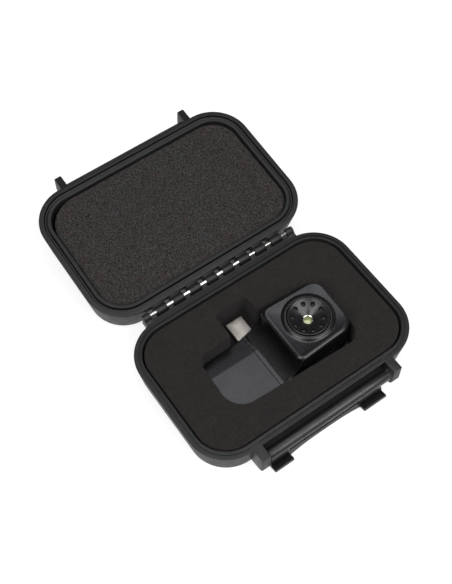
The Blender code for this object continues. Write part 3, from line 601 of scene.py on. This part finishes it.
def make_base():
    rings = [[(x, y, z) for x, y in case_outline(inset)] for inset, z in base_profile()]
    base = make("case_base", shape(loft, rings))
    half = SLOT_LONG / 2 - 0.2 * MM
    web = [(-3.75, -6.2), (2.9, -5.2), (2.9, -3.8), (-0.8, -1.85), (-3.75, -1.25)]
    web = [(HINGE.y + y * MM, HINGE.z + z * MM) for y, z in web]
    reach = LUG_START - 0.05 * MM
    combine(base, "UNION", [make("hinge_web", shape(prism, web, -reach, reach, "X"))])
    low = (-LUG_START - LUG_LONG, CASE_HALF_Y - 1.3 * MM, BASE_HEIGHT - 1.2 * MM)
    high = (LUG_START + LUG_LONG, FLANGE_BACK, BASE_HEIGHT - 0.01 * MM)
    flange = shape(block, low, high, rounding=0.15 * MM)
    combine(base, "UNION", [make("hinge_flange", flange)])
    rib = [(-28.2, 7.6), (-30.4, 7.6), (-30.7, 6.6), (-28.2, 4.4)]
    rib = [(y * MM, z * MM) for y, z in rib]
    reach = BRACKET_IN + 1.3 * MM
    combine(base, "UNION", [make("latch_rib", shape(prism, rib, -reach, reach, "X"))])
    low = (-BRACKET_IN - MM, -31.0 * MM, 7.5 * MM)
    recess = shape(block, low, (BRACKET_IN + MM, -27.7 * MM, BASE_HEIGHT - 0.9 * MM))
    combine(base, "DIFFERENCE", [make("latch_recess", recess)])
    pin_reach = LUG_START + LUG_LONG - 0.5 * MM
    tools = []
    for i, x in enumerate(SADDLE_X[1:-1]):
        bm = shape(prism, saddle_outline(), x - half, x + half, "X", rounding=0.12 * MM)
        tools.append(make(f"saddle_{i}", bm))
    for side in (-1, 1):
        ends = sorted((side * (LUG_START - 2 * half), side * (LUG_START - 0.05 * MM)))
        tools.append(make(f"end_saddle_{side}", shape(prism, saddle_outline(), *ends, "X")))
        ends = sorted((side * (LUG_START - 0.1 * MM), side * (LUG_START + LUG_LONG)))
        lug = make(f"lug_{side}", shape(prism, lug_outline(), *ends, "X", rounding=0.3 * MM))
        ends = sorted((side * (LUG_START - MM), side * pin_reach))
        bore = shape(rod, HINGE_PIN_R + 0.1 * MM, *ends, (HINGE.y, HINGE.z))
        combine(lug, "DIFFERENCE", [make("hinge_bore", bore)])
        tools.append(lug)
        ends = sorted((side * BRACKET_IN, side * BRACKET_OUT))
        bracket = make(f"bracket_{side}", shape(prism, bracket_outline(), *ends, "X", rounding=0.22 * MM))
        ends = sorted((side * (BRACKET_IN - MM), side * (BRACKET_OUT + MM)))
        bore = shape(rod, LATCH_PIN_R + 0.08 * MM, *ends, (LATCH.y, LATCH.z))
        combine(bracket, "DIFFERENCE", [make("latch_bore", bore)])
        tools.append(bracket)
    for tool in tools:
        combine(base, "UNION", [tool])
    finish_piece(base, "root", "case_plastic", CASE_BLACK, "base_shell")


def make_pins():
    reach = LUG_START + LUG_LONG - 0.7 * MM
    bm = shape(rod, HINGE_PIN_R, -reach, reach, (HINGE.y, HINGE.z), end_round=0.2 * MM)
    pin = make("hinge_pin_bright", bm)
    finish_piece(pin, "root", "pin_steel", STEEL, "hinge_pin")
    reach = BRACKET_OUT - 0.1 * MM
    centre = (LATCH.y, LATCH.z)
    bm = shape(rod, LATCH_PIN_R, -reach, reach, centre, end_round=0.15 * MM)
    pin = make("latch_pin_bright", bm)
    dent_r, dent_deep = 0.22 * MM, 0.2 * MM
    dents = []
    for side in (-1, 1):
        bm = shape(rod, dent_r, side * reach - dent_deep, side * reach + dent_deep, centre)
        dents.append(make(f"pin_dent_{side}", bm))
    combine(pin, "DIFFERENCE", dents)
    finish_piece(pin, "root", "pin_steel", STEEL, "latch_pin")


# Case lid.


def lid_rings(profile, outline=case_outline):
    """Rings in the lid's frame, from (inset, depth below its rim plane) points."""
    return [[(x, HINGE.y + y, LID_RIM - depth) for x, y in outline(inset)] for inset, depth in profile]


def lid_profile():
    """(inset, depth) section of the lid's wall, from its outside round the rim to its floor."""
    round_r = 2.0 * MM
    edge = LID_HEIGHT - round_r
    points = arc((LID_DRAFT + round_r, edge), round_r, 90, 180, 8)
    points += arc((0.45 * MM, 0.45 * MM), 0.45 * MM, 180, 270, 5)
    points += [(1.83 * MM, 0.0), (1.90 * MM, 0.08 * MM), (1.92 * MM, 1.7 * MM), (3.18 * MM, 1.7 * MM)]
    points += [(3.20 * MM, 0.10 * MM), (3.28 * MM, 0.0), (4.35 * MM, 0.0)]
    points += arc((4.35 * MM, 0.25 * MM), 0.25 * MM, 270, 350, 4)
    points += [(4.8 * MM, LID_HEIGHT - LID_FLOOR)]
    return points


def make_lid():
    shell = make("case_lid", shape(loft, lid_rings(lid_profile())), LID_FRAME)
    far = HINGE.y + CASE_HALF_Y
    near_wall = HINGE.y - CASE_HALF_Y + 1.2 * MM
    knuckle = arc((0, 0), BARREL_R, 60, 245, 22) + [(near_wall, -4.6 * MM), (near_wall, 0.1 * MM)]
    knuckle += [(2.55 * MM, 0.3 * MM), (1.45 * MM, 0.3 * MM)]
    half = (SADDLE_PITCH - SLOT_LONG) / 2
    tools = []
    for i, (left, right) in enumerate(zip(SADDLE_X, SADDLE_X[1:])):
        middle = (left + right) / 2
        bm = shape(prism, knuckle, middle - half, middle + half, "X", rounding=0.14 * MM)
        tools.append(make(f"knuckle_{i}", bm, LID_FRAME))
    tip = HINGE.y - BRACKET_FRONT
    top = LID_RIM - 0.05 * MM
    low = top - PRONG_HIGH
    foot_r = 2.6 * MM
    prong = [(far - 1.5 * MM, low), (tip - foot_r, low)]
    prong += arc((tip - foot_r, low + foot_r), foot_r, -80, 0, 12)
    prong += [(tip, top), (far - 1.5 * MM, top)]
    for side in (-1, 1):
        ends = sorted((side * (BRACKET_IN + 0.3 * MM), side * (BRACKET_OUT - 0.3 * MM)))
        tools.append(make(f"prong_{side}", shape(prism, prong, *ends, "X", rounding=0.4 * MM), LID_FRAME))
    combine(shell, "UNION", tools)
    reach = 2.0 * MM
    catch_z = HINGE.z - (LATCH.z + HOOK_TIP - HOOK_LIP - 0.3 * MM)
    catch = [(far - 1.5 * MM, catch_z), (far + reach, catch_z), (far + reach, catch_z + 0.6 * MM)]
    catch += [(far, catch_z + 1.6 * MM), (far - 1.5 * MM, catch_z + 1.6 * MM)]
    rail_end = BRACKET_IN + 0.1 * MM
    bm = shape(prism, catch, -rail_end, rail_end, "X", rounding=0.12 * MM)
    combine(shell, "UNION", [make("catch_rail", bm, LID_FRAME)])
    bm = shape(rod, HINGE_PIN_R + 0.1 * MM, SADDLE_X[0], SADDLE_X[-1], (0.0, 0.0))
    combine(shell, "DIFFERENCE", [make("lid_bore", bm, LID_FRAME)])
    finish_piece(shell, "lid", "case_plastic", CASE_BLACK, "lid_shell")


def make_gasket():
    """Round-topped rubber ring that fills the groove's outer part."""
    low, high, half = 1.6 * MM, 0.6 * MM, 0.42 * MM
    middle = 2.47 * MM
    profile = [(middle - half, low)] + arc((middle, high + half), half, 180, 360, 10) + [(middle + half, low)]
    ring = make("lid_gasket_round", shape(loft, lid_rings(profile), closed=True), LID_FRAME)
    finish_piece(ring, "lid", "gasket_rubber", RUBBER, "lid_gasket")


# Foam.


def roughen(obj, size, depth, seed):
    """Moves each point of a foam mesh along its normal by noise, for cells that show in its outline."""
    mesh = obj.data
    offset = Vector((seed * 7.3, seed * 3.1, seed * 1.7))
    moved = []
    for vertex in mesh.vertices:
        value = noise.noise(vertex.co / size + offset) + 0.5 * noise.noise(vertex.co / (size * 0.45) + offset)
        moved.append(vertex.co + vertex.normal * (value * depth))
    for vertex, place in zip(mesh.vertices, moved):
        vertex.co = place
    mesh.update()


def make_lid_foam():
    """The lid's foam pad stands a little below the rim; its far left corner is cut rounder than the lid."""
    surface = 1.4 * MM
    floor = LID_HEIGHT - LID_FLOOR - 0.1 * MM
    half_x, half_y = CASE_HALF_X - 4.9 * MM, CASE_HALF_Y - 4.9 * MM
    radii = [10.5 * MM, 12.5 * MM, 10.0 * MM, 10.0 * MM]
    outline = rounded_rectangle(half_x, half_y, radii)
    rings = []
    edge = ((0.0, surface + 0.35 * MM), (0.1 * MM, surface + 0.1 * MM), (0.4 * MM, surface))
    for shrink, depth in ((0.0, floor), *edge):
        ring = []
        for x, y in outline:
            scale = (1 - shrink / half_x, 1 - shrink / half_y)
            ring.append((x * scale[0], HINGE.y + y * scale[1], LID_RIM - depth))
        rings.append(ring)
    pad = make("lid_foam_pad", shape(loft, rings))
    remesh(pad, 0.42 * MM, 2, 180)
    for vertex in pad.data.vertices:
        across = (vertex.co.x / half_x, (vertex.co.y - HINGE.y) / half_y)
        swell = 0.35 * MM * (1 - across[0] ** 2) * (1 - across[1] ** 2)
        if vertex.co.z > LID_RIM - surface - MM:
            vertex.co.z += swell
    pad.data.update()
    roughen(pad, 0.75 * MM, 0.14 * MM, 1)
    pad.data.transform(LID_FRAME)
    finish_piece(pad, "lid", "lid_foam", COARSE_FOAM, "lid_foam")
    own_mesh(pad)


def recess_outline():
    """The cut-out that holds the camera, with the notch for its plug."""
    corners = [
        (-26.4, -14.8, 8.0), (25.9, -16.8, 5.0), (27.4, 10.6, 5.0), (2.6, 12.4, 0.8),
        (2.2, 19.4, 1.2), (-10.9, 19.4, 1.2), (-10.9, 9.4, 0.8), (-25.4, 9.1, 4.0),
    ]
    return rounded_polygon([(x * MM, y * MM, radius * MM) for x, y, radius in corners])


def make_base_foam():
    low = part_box("base_foam")[0].z
    inset = 3.5 * MM
    edge = 0.35 * MM
    rings = []
    for extra, z in ((0.0, low), (0.0, FOAM_TOP - edge), (0.1 * MM, FOAM_TOP - 0.1 * MM), (edge, FOAM_TOP)):
        rings.append([(x, y, z) for x, y in case_outline(inset + extra)])
    foam = make("base_foam_block", shape(loft, rings))
    cutter = make("recess", shape(prism, recess_outline(), 0.0, FOAM_TOP + MM))
    combine(foam, "DIFFERENCE", [cutter])
    remesh(foam, 0.40 * MM, 2, 180)
    roughen(foam, 0.5 * MM, 0.035 * MM, 2)
    finish_piece(foam, "root", "base_foam", FINE_FOAM, "base_foam")
    low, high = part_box("base_foam_sheet")
    sheet = make("base_foam_liner", shape(prism, case_outline(inset), low.z, high.z, rounding=0.1 * MM))
    finish_piece(sheet, "root", "base_foam", FINE_FOAM, "base_foam_sheet")


# Latch.


def plate_outline():
    """(x, z) outline of the latch plate, arched between its two hooks."""
    left, right = HOOKS[0][1], HOOKS[1][0]
    middle, arch_half = (left + right) / 2, (right - left) / 2
    crown = 6.7 * MM
    side_z = HOOK_TIP - 0.4 * MM
    found = [(HOOKS[1][1], 0.0), (HOOKS[1][1], HOOK_TIP), (right, HOOK_TIP), (right, side_z)]
    steps = 40
    for i in range(1, steps):
        across = 1 - 2 * i / steps
        found.append((middle + arch_half * across, crown + (side_z - crown) * abs(across) ** 3))
    found += [(left, side_z), (left, HOOK_TIP), (HOOKS[0][0], HOOK_TIP), (HOOKS[0][0], 0.0)]
    return found


def make_latch():
    bm = shape(rod, BAR_R, LATCH_LEFT, LATCH_RIGHT, (0.0, 0.0), steps=72, end_round=0.2 * MM)
    bar = make("latch_moulding", bm, LATCH_FRAME)
    plate = shape(prism, plate_outline(), PLATE_OUT, PLATE_IN, "Y", rounding=0.18 * MM)
    combine(bar, "UNION", [make("plate", plate, LATCH_FRAME)])
    slack = 0.02 * MM
    tip, root = HOOK_TIP - slack, PLATE_OUT + 0.4 * MM
    lip = [(root, HOOK_TIP - HOOK_LIP), (HOOK_REACH, HOOK_TIP - HOOK_LIP)]
    lip += arc((HOOK_REACH - 0.3 * MM, tip - 0.3 * MM), 0.3 * MM, 0, 90, 6) + [(root, tip)]
    for left, right in HOOKS:
        bm = shape(prism, lip, left + slack, right - slack, "X", rounding=0.15 * MM)
        combine(bar, "UNION", [make("lip", bm, LATCH_FRAME)])
        low = (left + 0.4 * MM, PLATE_IN - 1.1 * MM, 5.7 * MM)
        bm = shape(block, low, (right - 0.4 * MM, PLATE_IN + MM, HOOK_TIP - HOOK_LIP + 0.01 * MM))
        combine(bar, "DIFFERENCE", [make("pocket", bm, LATCH_FRAME)])
    low = (HOOKS[0][1] + 0.3 * MM, PLATE_IN - 0.9 * MM, 2.6 * MM)
    bm = shape(block, low, (HOOKS[1][0] - 0.3 * MM, PLATE_IN + 0.5 * MM, 5.1 * MM))
    combine(bar, "DIFFERENCE", [make("shadow_gap", bm, LATCH_FRAME)])
    bm = shape(rod, LATCH_PIN_R + 0.1 * MM, LATCH_LEFT - MM, LATCH_RIGHT + MM, (0.0, 0.0))
    combine(bar, "DIFFERENCE", [make("bar_bore", bm, LATCH_FRAME)])

    # Two mould seams round the bar. Their ring has steps that never line up with the bar's own 72,
    # because the Boolean leaves broken edges where faces coincide.
    seam_steps, seam_start = 65, 1.7
    low, high = BAR_R - 0.14 * MM, BAR_R + MM
    for x, half in ((-12.3 * MM, 0.08 * MM), (12.7 * MM, 0.11 * MM)):
        ring = [(low, -half), (high, -half), (high, half), (low, half)]
        turn = Matrix.Translation((x, 0, 0)) @ Matrix.Rotation(math.radians(90), 4, "Y")
        bm = shape(turned, ring, (0.0, 0.0), seam_steps, seam_start)
        bmesh.ops.transform(bm, matrix=turn, verts=bm.verts)
        combine(bar, "DIFFERENCE", [make("seam", bm, LATCH_FRAME)])
    finish_piece(bar, "latch", "case_plastic", LATCH_BLACK, "latch")


# Camera.


def camera_outline():
    corners = [
        (-26.0, -14.4, 7.6), (26.5, -13.9, 7.2), (26.8, 9.6, 5.2), (2.0, EDGE_Y / MM, 1.0),
        (-11.5, EDGE_Y / MM - 1.3, 4.0), (-24.9, 8.6, 4.0),
    ]
    return rounded_polygon([(x * MM, y * MM, radius * MM) for x, y, radius in corners])


def shrunk(outline, inset, middle=(0.0, -2.6 * MM), half=(26.0 * MM, 12.6 * MM)):
    found = []
    for x, y in outline:
        offset = (x - middle[0], y - middle[1])
        scale = (1 - inset / half[0], 1 - inset / half[1])
        found.append((middle[0] + offset[0] * scale[0], middle[1] + offset[1] * scale[1]))
    return found


def block_outline(inset):
    """Plan of the lens block: tight corners where it joins the slab, wide ones at the camera's end."""
    corners = [(1.0, -14.7, 3.0), (26.4, -13.5, 7.0), (26.7, 9.4, 5.0), (1.2, 10.2, 3.6)]
    middle = (13.8, -2.2)
    found = []
    for x, y, radius in corners:
        x += math.copysign(inset, middle[0] - x)
        y += math.copysign(inset, middle[1] - y)
        found.append((x * MM, y * MM, max(radius - inset, 0.8) * MM))
    return rounded_polygon(found, 14)


def make_front_cover():
    outline = camera_outline()
    edge = 0.5 * MM
    levels = [(0.0, COVER_LOW)] + [(edge + a, SLAB_TOP - edge + b) for a, b in arc((0, 0), edge, 180, 90, 6)]
    rings = [[(x, y, z) for x, y in shrunk(outline, inset)] for inset, z in levels]
    cover = make("camera_front_cover", shape(loft, rings))
    beyond, above = EDGE_Y + 4 * MM, SLAB_TOP + 2 * MM
    fall = (SLAB_TOP - SLAB_EDGE_TOP) * (beyond - SLAB_CREASE_Y) / (EDGE_Y - SLAB_CREASE_Y)
    slope = [(SLAB_CREASE_Y, SLAB_TOP), (beyond, SLAB_TOP - fall), (beyond, above), (SLAB_CREASE_Y, above)]
    combine(cover, "DIFFERENCE", [make("facet", shape(prism, slope, -30 * MM, 30 * MM, "X"))])

    # The lens block: almost upright sides, a soft round along its top edge and a top that sinks a
    # little towards its middle. The dish from front to back comes after the remesh.
    levels = [(-0.3, 2.65), (0.0, 9.0), (0.2, 14.2)]
    levels += [(1.35 + a, 14.7 + b) for a, b in arc((0, 0), 1.15, 180, 88, 10)]
    levels += [(2.6, 15.76), (4.5, 15.66), (7.0, 15.55)]
    rings = [[(x, y, z * MM) for x, y in block_outline(inset)] for inset, z in levels]
    body = make("lens_block", shape(loft, rings))

    # A collar rises to the focus ring in an S curve.
    profile = [(0.0, 12 * MM), (9.9 * MM, 12 * MM), (9.9 * MM, 15.40 * MM)]
    for i in range(9):
        share = i / 8
        profile.append(((9.9 - 1.5 * share) * MM, (15.40 + 1.1 * (1 - math.cos(math.pi * share)) / 2) * MM))
    profile += [(7.6 * MM, 16.5 * MM), (0.0, 16.5 * MM)]
    collar = make("collar", shape(turned, profile, (LENS_X, LENS_Y)))

    # The wall that sweeps up from the slab, with a low ledge along its foot.
    foot, head, top = -4.8 * MM, 2.2 * MM, 14.6 * MM
    ledge_high, ledge_wide = 0.18 * MM, 1.3 * MM
    inside = COVER_LOW + 0.2 * MM
    ledge = [(foot - ledge_wide, inside), (head, inside), (head, SLAB_TOP + ledge_high)]
    ledge += [(foot - ledge_wide + 0.1 * MM, SLAB_TOP + ledge_high)]
    ledge += [(foot - ledge_wide, SLAB_TOP + 0.06 * MM)]
    ledge = make("ledge", shape(prism, ledge, LENS_Y - 12.2 * MM, LENS_Y + 11.7 * MM, "Y"))
    bm = shape(prism, [(y, z + ledge_high) for y, z in slope], -30 * MM, 30 * MM, "X")
    combine(ledge, "DIFFERENCE", [make("facet_above", bm)])
    sweep = [(head + 2 * MM, inside), (foot, inside), (foot, SLAB_EDGE_TOP)]
    steps = 28
    for i in range(steps + 1):
        share = i / steps
        rise = 0.32 * share + 0.68 * (1 - math.sqrt(1 - share ** 2))
        sweep.append((foot + (head - foot) * share, SLAB_TOP + 0.1 * MM + (top - SLAB_TOP) * rise))
    sweep.append((head + 2 * MM, top))
    wall = make("swept_wall", shape(prism, sweep, LENS_Y - 12.2 * MM, LENS_Y + 11.7 * MM, "Y"))
    for added in (body, collar, ledge, wall):
        combine(cover, "UNION", [added])
    remesh(cover, 0.20 * MM, 5)

    # Dishes the block's top from front to back, from nothing at dish_low to all of it a fade higher.
    dish, dish_low, fade, reach, lift = 0.5 * MM, 12.5 * MM, 2.5 * MM, 12.0 * MM, 0.75
    for vertex in cover.data.vertices:
        share = min(max((vertex.co.z - dish_low) / fade, 0.0), 1.0)
        across = (vertex.co.y - LENS_Y) / reach
        vertex.co.z += dish * share * (min(across * across, 1.0) - lift)
    cover.data.update()

    half = PLUG_WIDE / 2 + 0.1 * MM
    low, high = 9 * MM, 18 * MM
    well = [(0, low), (RING_HOLE_R, low), (RING_HOLE_R, high), (0, high)]
    cuts = [make("ring_well", shape(turned, well, (LENS_X, LENS_Y)))]
    slot_top = PLUG_Z + PLUG_THICK / 2 + 0.1 * MM
    slot = shape(block, (PLUG_X - half, 6 * MM, 0.0), (PLUG_X + half, 12 * MM, slot_top))
    cuts.append(make("plug_slot", slot))
    combine(cover, "DIFFERENCE", cuts)
    finish_piece(cover, "root", "cover_plastic", CAMERA_BLACK, "front_cover")


def make_focus_ring():
    """The ring: a rolled outer edge, and a funnel with ten finger dimples round its mouth."""
    under, skirt = 14.0 * MM, 11.2 * MM
    edge = 0.22 * MM
    profile = [(1.8 * MM, under), (5.45 * MM, under), (5.45 * MM, skirt)]
    profile += [(6.3 * MM, skirt), (6.3 * MM, 14.6 * MM), (RING_R - 0.1 * MM, 14.7 * MM)]
    profile += arc((RING_R - edge, RING_TOP - edge), edge, 0, 105, 8)
    profile += [(RING_R - 0.40 * MM, RING_TOP - 0.12 * MM), (RING_R - 0.52 * MM, RING_TOP - 0.16 * MM)]
    profile += [(1.88 * MM, under + 0.28 * MM), (1.77 * MM, under + 0.15 * MM)]
    ring = make("focus_grip_ring", shape(turned, profile, (LENS_X, LENS_Y), 144))
    dimple_ring = 5.4 * MM
    dimples = []
    for i in range(DIMPLES):
        angle = math.tau * i / DIMPLES
        place = (LENS_X + dimple_ring * math.cos(angle), LENS_Y + dimple_ring * math.sin(angle))
        low, high = RING_TOP - 2.1 * MM, RING_TOP + 0.6 * MM
        bowl = [(0, low), (0.62 * MM, low + 0.03 * MM), (0.80 * MM, low + 0.2 * MM)]
        bowl += [(0.84 * MM, low + 0.5 * MM), (0.88 * MM, low + 1.2 * MM), (0.98 * MM, high), (0, high)]
        dimples.append(make(f"dimple_{i}", shape(turned, bowl, place, 28)))
    combine(ring, "DIFFERENCE", dimples, 30)
    finish_piece(ring, "focus_ring", "ring_plastic", RING_BLACK, "focus_ring")


def make_bezel_and_lens():
    centre = (LENS_X, LENS_Y)
    outer, inner, top = RING_HOLE_R - 0.05 * MM, RING_R + 0.28 * MM, RING_TOP - 0.35 * MM
    low, edge = 13.2 * MM, 0.15 * MM
    profile = [(inner, low), (outer, low)] + arc((outer - edge, top - edge), edge, 0, 90, 4)
    profile += arc((inner + edge, top - edge), edge, 90, 180, 4)
    bezel = make("lens_bezel_ring", shape(turned, profile, centre, 144))
    finish_piece(bezel, "root", "ring_plastic", RING_BLACK, "lens_bezel")
    low, rim, crown = 12.2 * MM, 12.7 * MM, 13.42 * MM
    radius = 2.88 * MM
    profile = [(0, low), (radius, low), (radius, rim)]
    for i in range(1, 12):
        angle = i / 12 * math.pi / 2
        profile.append((radius * math.cos(angle), rim + (crown - rim) * math.sin(angle)))
    profile.append((0, crown))
    lens = make("front_lens_dome", shape(turned, profile, centre, 96))
    finish_piece(lens, "lens", "lens_glass", GLASS, "front_lens")
    low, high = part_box("lens_retainer")[0].z, 13.80 * MM
    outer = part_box("lens_retainer")[1].x - LENS_X
    seat = radius + 0.04 * MM
    profile = [(outer, low), (outer, high - 0.1 * MM), (outer - 0.1 * MM, high), (2.08 * MM, high)]
    profile += [(1.62 * MM, 13.48 * MM), (1.60 * MM, 13.44 * MM), (radius - 0.4 * MM, rim + 0.2 * MM)]
    profile += [(seat, rim), (seat, low)]
    retainer = make("lens_retainer_ring", shape(turned, profile, centre, 96))
    finish_piece(retainer, "lens", "lens_metal", POLISHED, "lens_retainer")


def plug_section(inset):
    """(x, z) section of the plug's shell: rounded above, with its two lower corners cut off."""
    half = PLUG_WIDE / 2 - inset
    tall = PLUG_THICK / 2 - inset
    cut = 0.7 * MM
    rounding = 0.3 * MM - inset * 0.8
    corners = [
        (PLUG_X - half, PLUG_Z + tall, rounding), (PLUG_X - half, PLUG_Z - tall + cut, rounding),
        (PLUG_X - half + cut, PLUG_Z - tall, rounding), (PLUG_X + half - cut, PLUG_Z - tall, rounding),
        (PLUG_X + half, PLUG_Z - tall + cut, rounding), (PLUG_X + half, PLUG_Z + tall, rounding),
    ]
    return rounded_polygon(corners, 6)


def make_plug():
    """The plug's shell: folded sheet, its seam along the top locked by two dovetails."""
    heel, tip = PLUG_BOX[0].y, PLUG_BOX[1].y
    wall = 0.25 * MM
    stages = [(0.12 * MM, heel), (0.0, heel + 0.12 * MM), (0.0, tip - 0.12 * MM), (0.06 * MM, tip)]
    stages += [(wall - 0.04 * MM, tip), (wall, tip - 0.1 * MM), (wall, heel + 3.4 * MM)]
    rings = [[(x, y, z) for x, z in plug_section(inset)] for inset, y in stages]
    shell = make("usb_plug_shell", shape(loft, rings))
    top = PLUG_Z + PLUG_THICK / 2
    deep = 0.12 * MM
    cuts = []
    seam = 0.05 * MM
    spans = ((9.4, 11.0), (12.6, 13.9), (15.5, 17.5))
    for i, (start, end) in enumerate(spans):
        bm = shape(block, (PLUG_X - seam, start * MM, top - deep), (PLUG_X + seam, end * MM, top + MM))
        cuts.append(make(f"seam_{i}", bm))
    for i, start in enumerate((11.0, 13.9)):
        for side in (-1, 1):
            narrow, wide = 0.30 * MM, 0.55 * MM
            line = 2.2 * seam
            y0, y1 = start * MM, (start + 1.6) * MM
            outline = [(PLUG_X + side * (narrow - line), y0), (PLUG_X + side * (narrow + line), y0)]
            outline += [(PLUG_X + side * (wide + line), y1), (PLUG_X + side * (wide - line), y1)]
            cuts.append(make(f"dovetail_{i}_{side}", shape(prism, outline, top - deep, top + MM)))
        for k, y in enumerate((start * MM, (start + 1.6) * MM)):
            reach = 0.32 * MM if k == 0 else 0.58 * MM
            bm = shape(block, (PLUG_X - reach, y - seam, top - deep), (PLUG_X + reach, y + seam, top + MM))
            cuts.append(make(f"dovetail_end_{i}_{k}", bm))
    for cut in cuts:
        combine(shell, "DIFFERENCE", [cut])
    finish_piece(shell, "root", "plug_nickel", NICKEL, "plug_shell")


# Stage.


def make_camera():
    """The camera stands in front and to the left of the case, looking down on it."""
    azimuth, elevation, roll = (math.radians(angle) for angle in (-33.41, 59.82, -1.94))
    target = Vector((1.557 * MM, 30.58 * MM, 0.0))
    distance = 361.85 * MM
    level = math.cos(elevation)
    back = Vector((math.sin(azimuth) * level, -math.cos(azimuth) * level, math.sin(elevation)))
    right = Vector((math.cos(azimuth), math.sin(azimuth), 0.0))
    up = back.cross(right)
    side = right * math.cos(roll) + up * math.sin(roll)
    top = up * math.cos(roll) - right * math.sin(roll)
    data = bpy.data.cameras.new("camera")
    data.sensor_width = 36.0
    data.lens = 60.03
    data.clip_start = 0.01
    camera = bpy.data.objects.new("camera", data)
    place = Matrix((side, top, back)).transposed().to_4x4()
    place.translation = target + back * distance
    camera.matrix_world = place
    bpy.context.scene.collection.objects.link(camera)
    bpy.context.scene.camera = camera


def add_light(name, azimuth, elevation, distance, size, power, colour=(1.0, 1.0, 1.0)):
    """A square soft light that faces the object; azimuth 0 is in front, and 90 on the +X side."""
    a, e = math.radians(azimuth), math.radians(elevation)
    away = Vector((math.sin(a) * math.cos(e), -math.cos(a) * math.cos(e), math.sin(e)))
    data = bpy.data.lights.new(name, "AREA")
    data.shape = "RECTANGLE"
    data.size, data.size_y = size
    data.energy = power
    light = bpy.data.objects.new(name, data)
    data.color = colour
    light.location = Vector((0.0, 0.03, 0.0)) + away * distance
    light.rotation_mode = "QUATERNION"
    light.rotation_quaternion = away.to_track_quat("Z", "Y")
    bpy.context.scene.collection.objects.link(light)


def make_stage():
    bm = bmesh.new()
    size = 3.0
    block(bm, (-size, -size, -0.02), (size, size, -0.0001))
    floor = make("floor", bm)
    look = bpy.data.materials.new("floor_white")
    look.use_nodes = True
    shader = look.node_tree.nodes["Principled BSDF"]
    shader.inputs["Base Color"].default_value = (0.30, 0.30, 0.30, 1.0)
    shader.inputs["Roughness"].default_value = 0.9
    shader.inputs["Specular IOR Level"].default_value = 0.1
    shader.inputs["Emission Color"].default_value = (1.0, 1.0, 1.0, 1.0)
    shader.inputs["Emission Strength"].default_value = 0.75
    floor.data.materials.append(look)
    add_light("overhead", 146.0, 75.6, 0.9, (0.50, 0.415), 1.75, (0.94, 0.95, 1.0))
    add_light("front_left", -76.0, 50.0, 1.1, (0.62, 0.9), 8.6)
    add_light("front_right", 21.0, 50.0, 1.1, (0.9, 0.9), 11.0)
    world = bpy.data.worlds.new("studio")
    world.use_nodes = True
    background = world.node_tree.nodes["Background"]
    background.inputs["Color"].default_value = (1.0, 1.0, 1.0, 1.0)
    background.inputs["Strength"].default_value = 0.10
    bpy.context.scene.world = world
    bpy.context.scene.view_settings.view_transform = "Standard"


make_camera()
make_stage()
dress_cad_nodes()
make_base()
make_pins()
make_lid()
make_gasket()
make_lid_foam()
make_base_foam()
make_latch()
make_front_cover()
make_focus_ring()
make_bezel_and_lens()
make_plug()
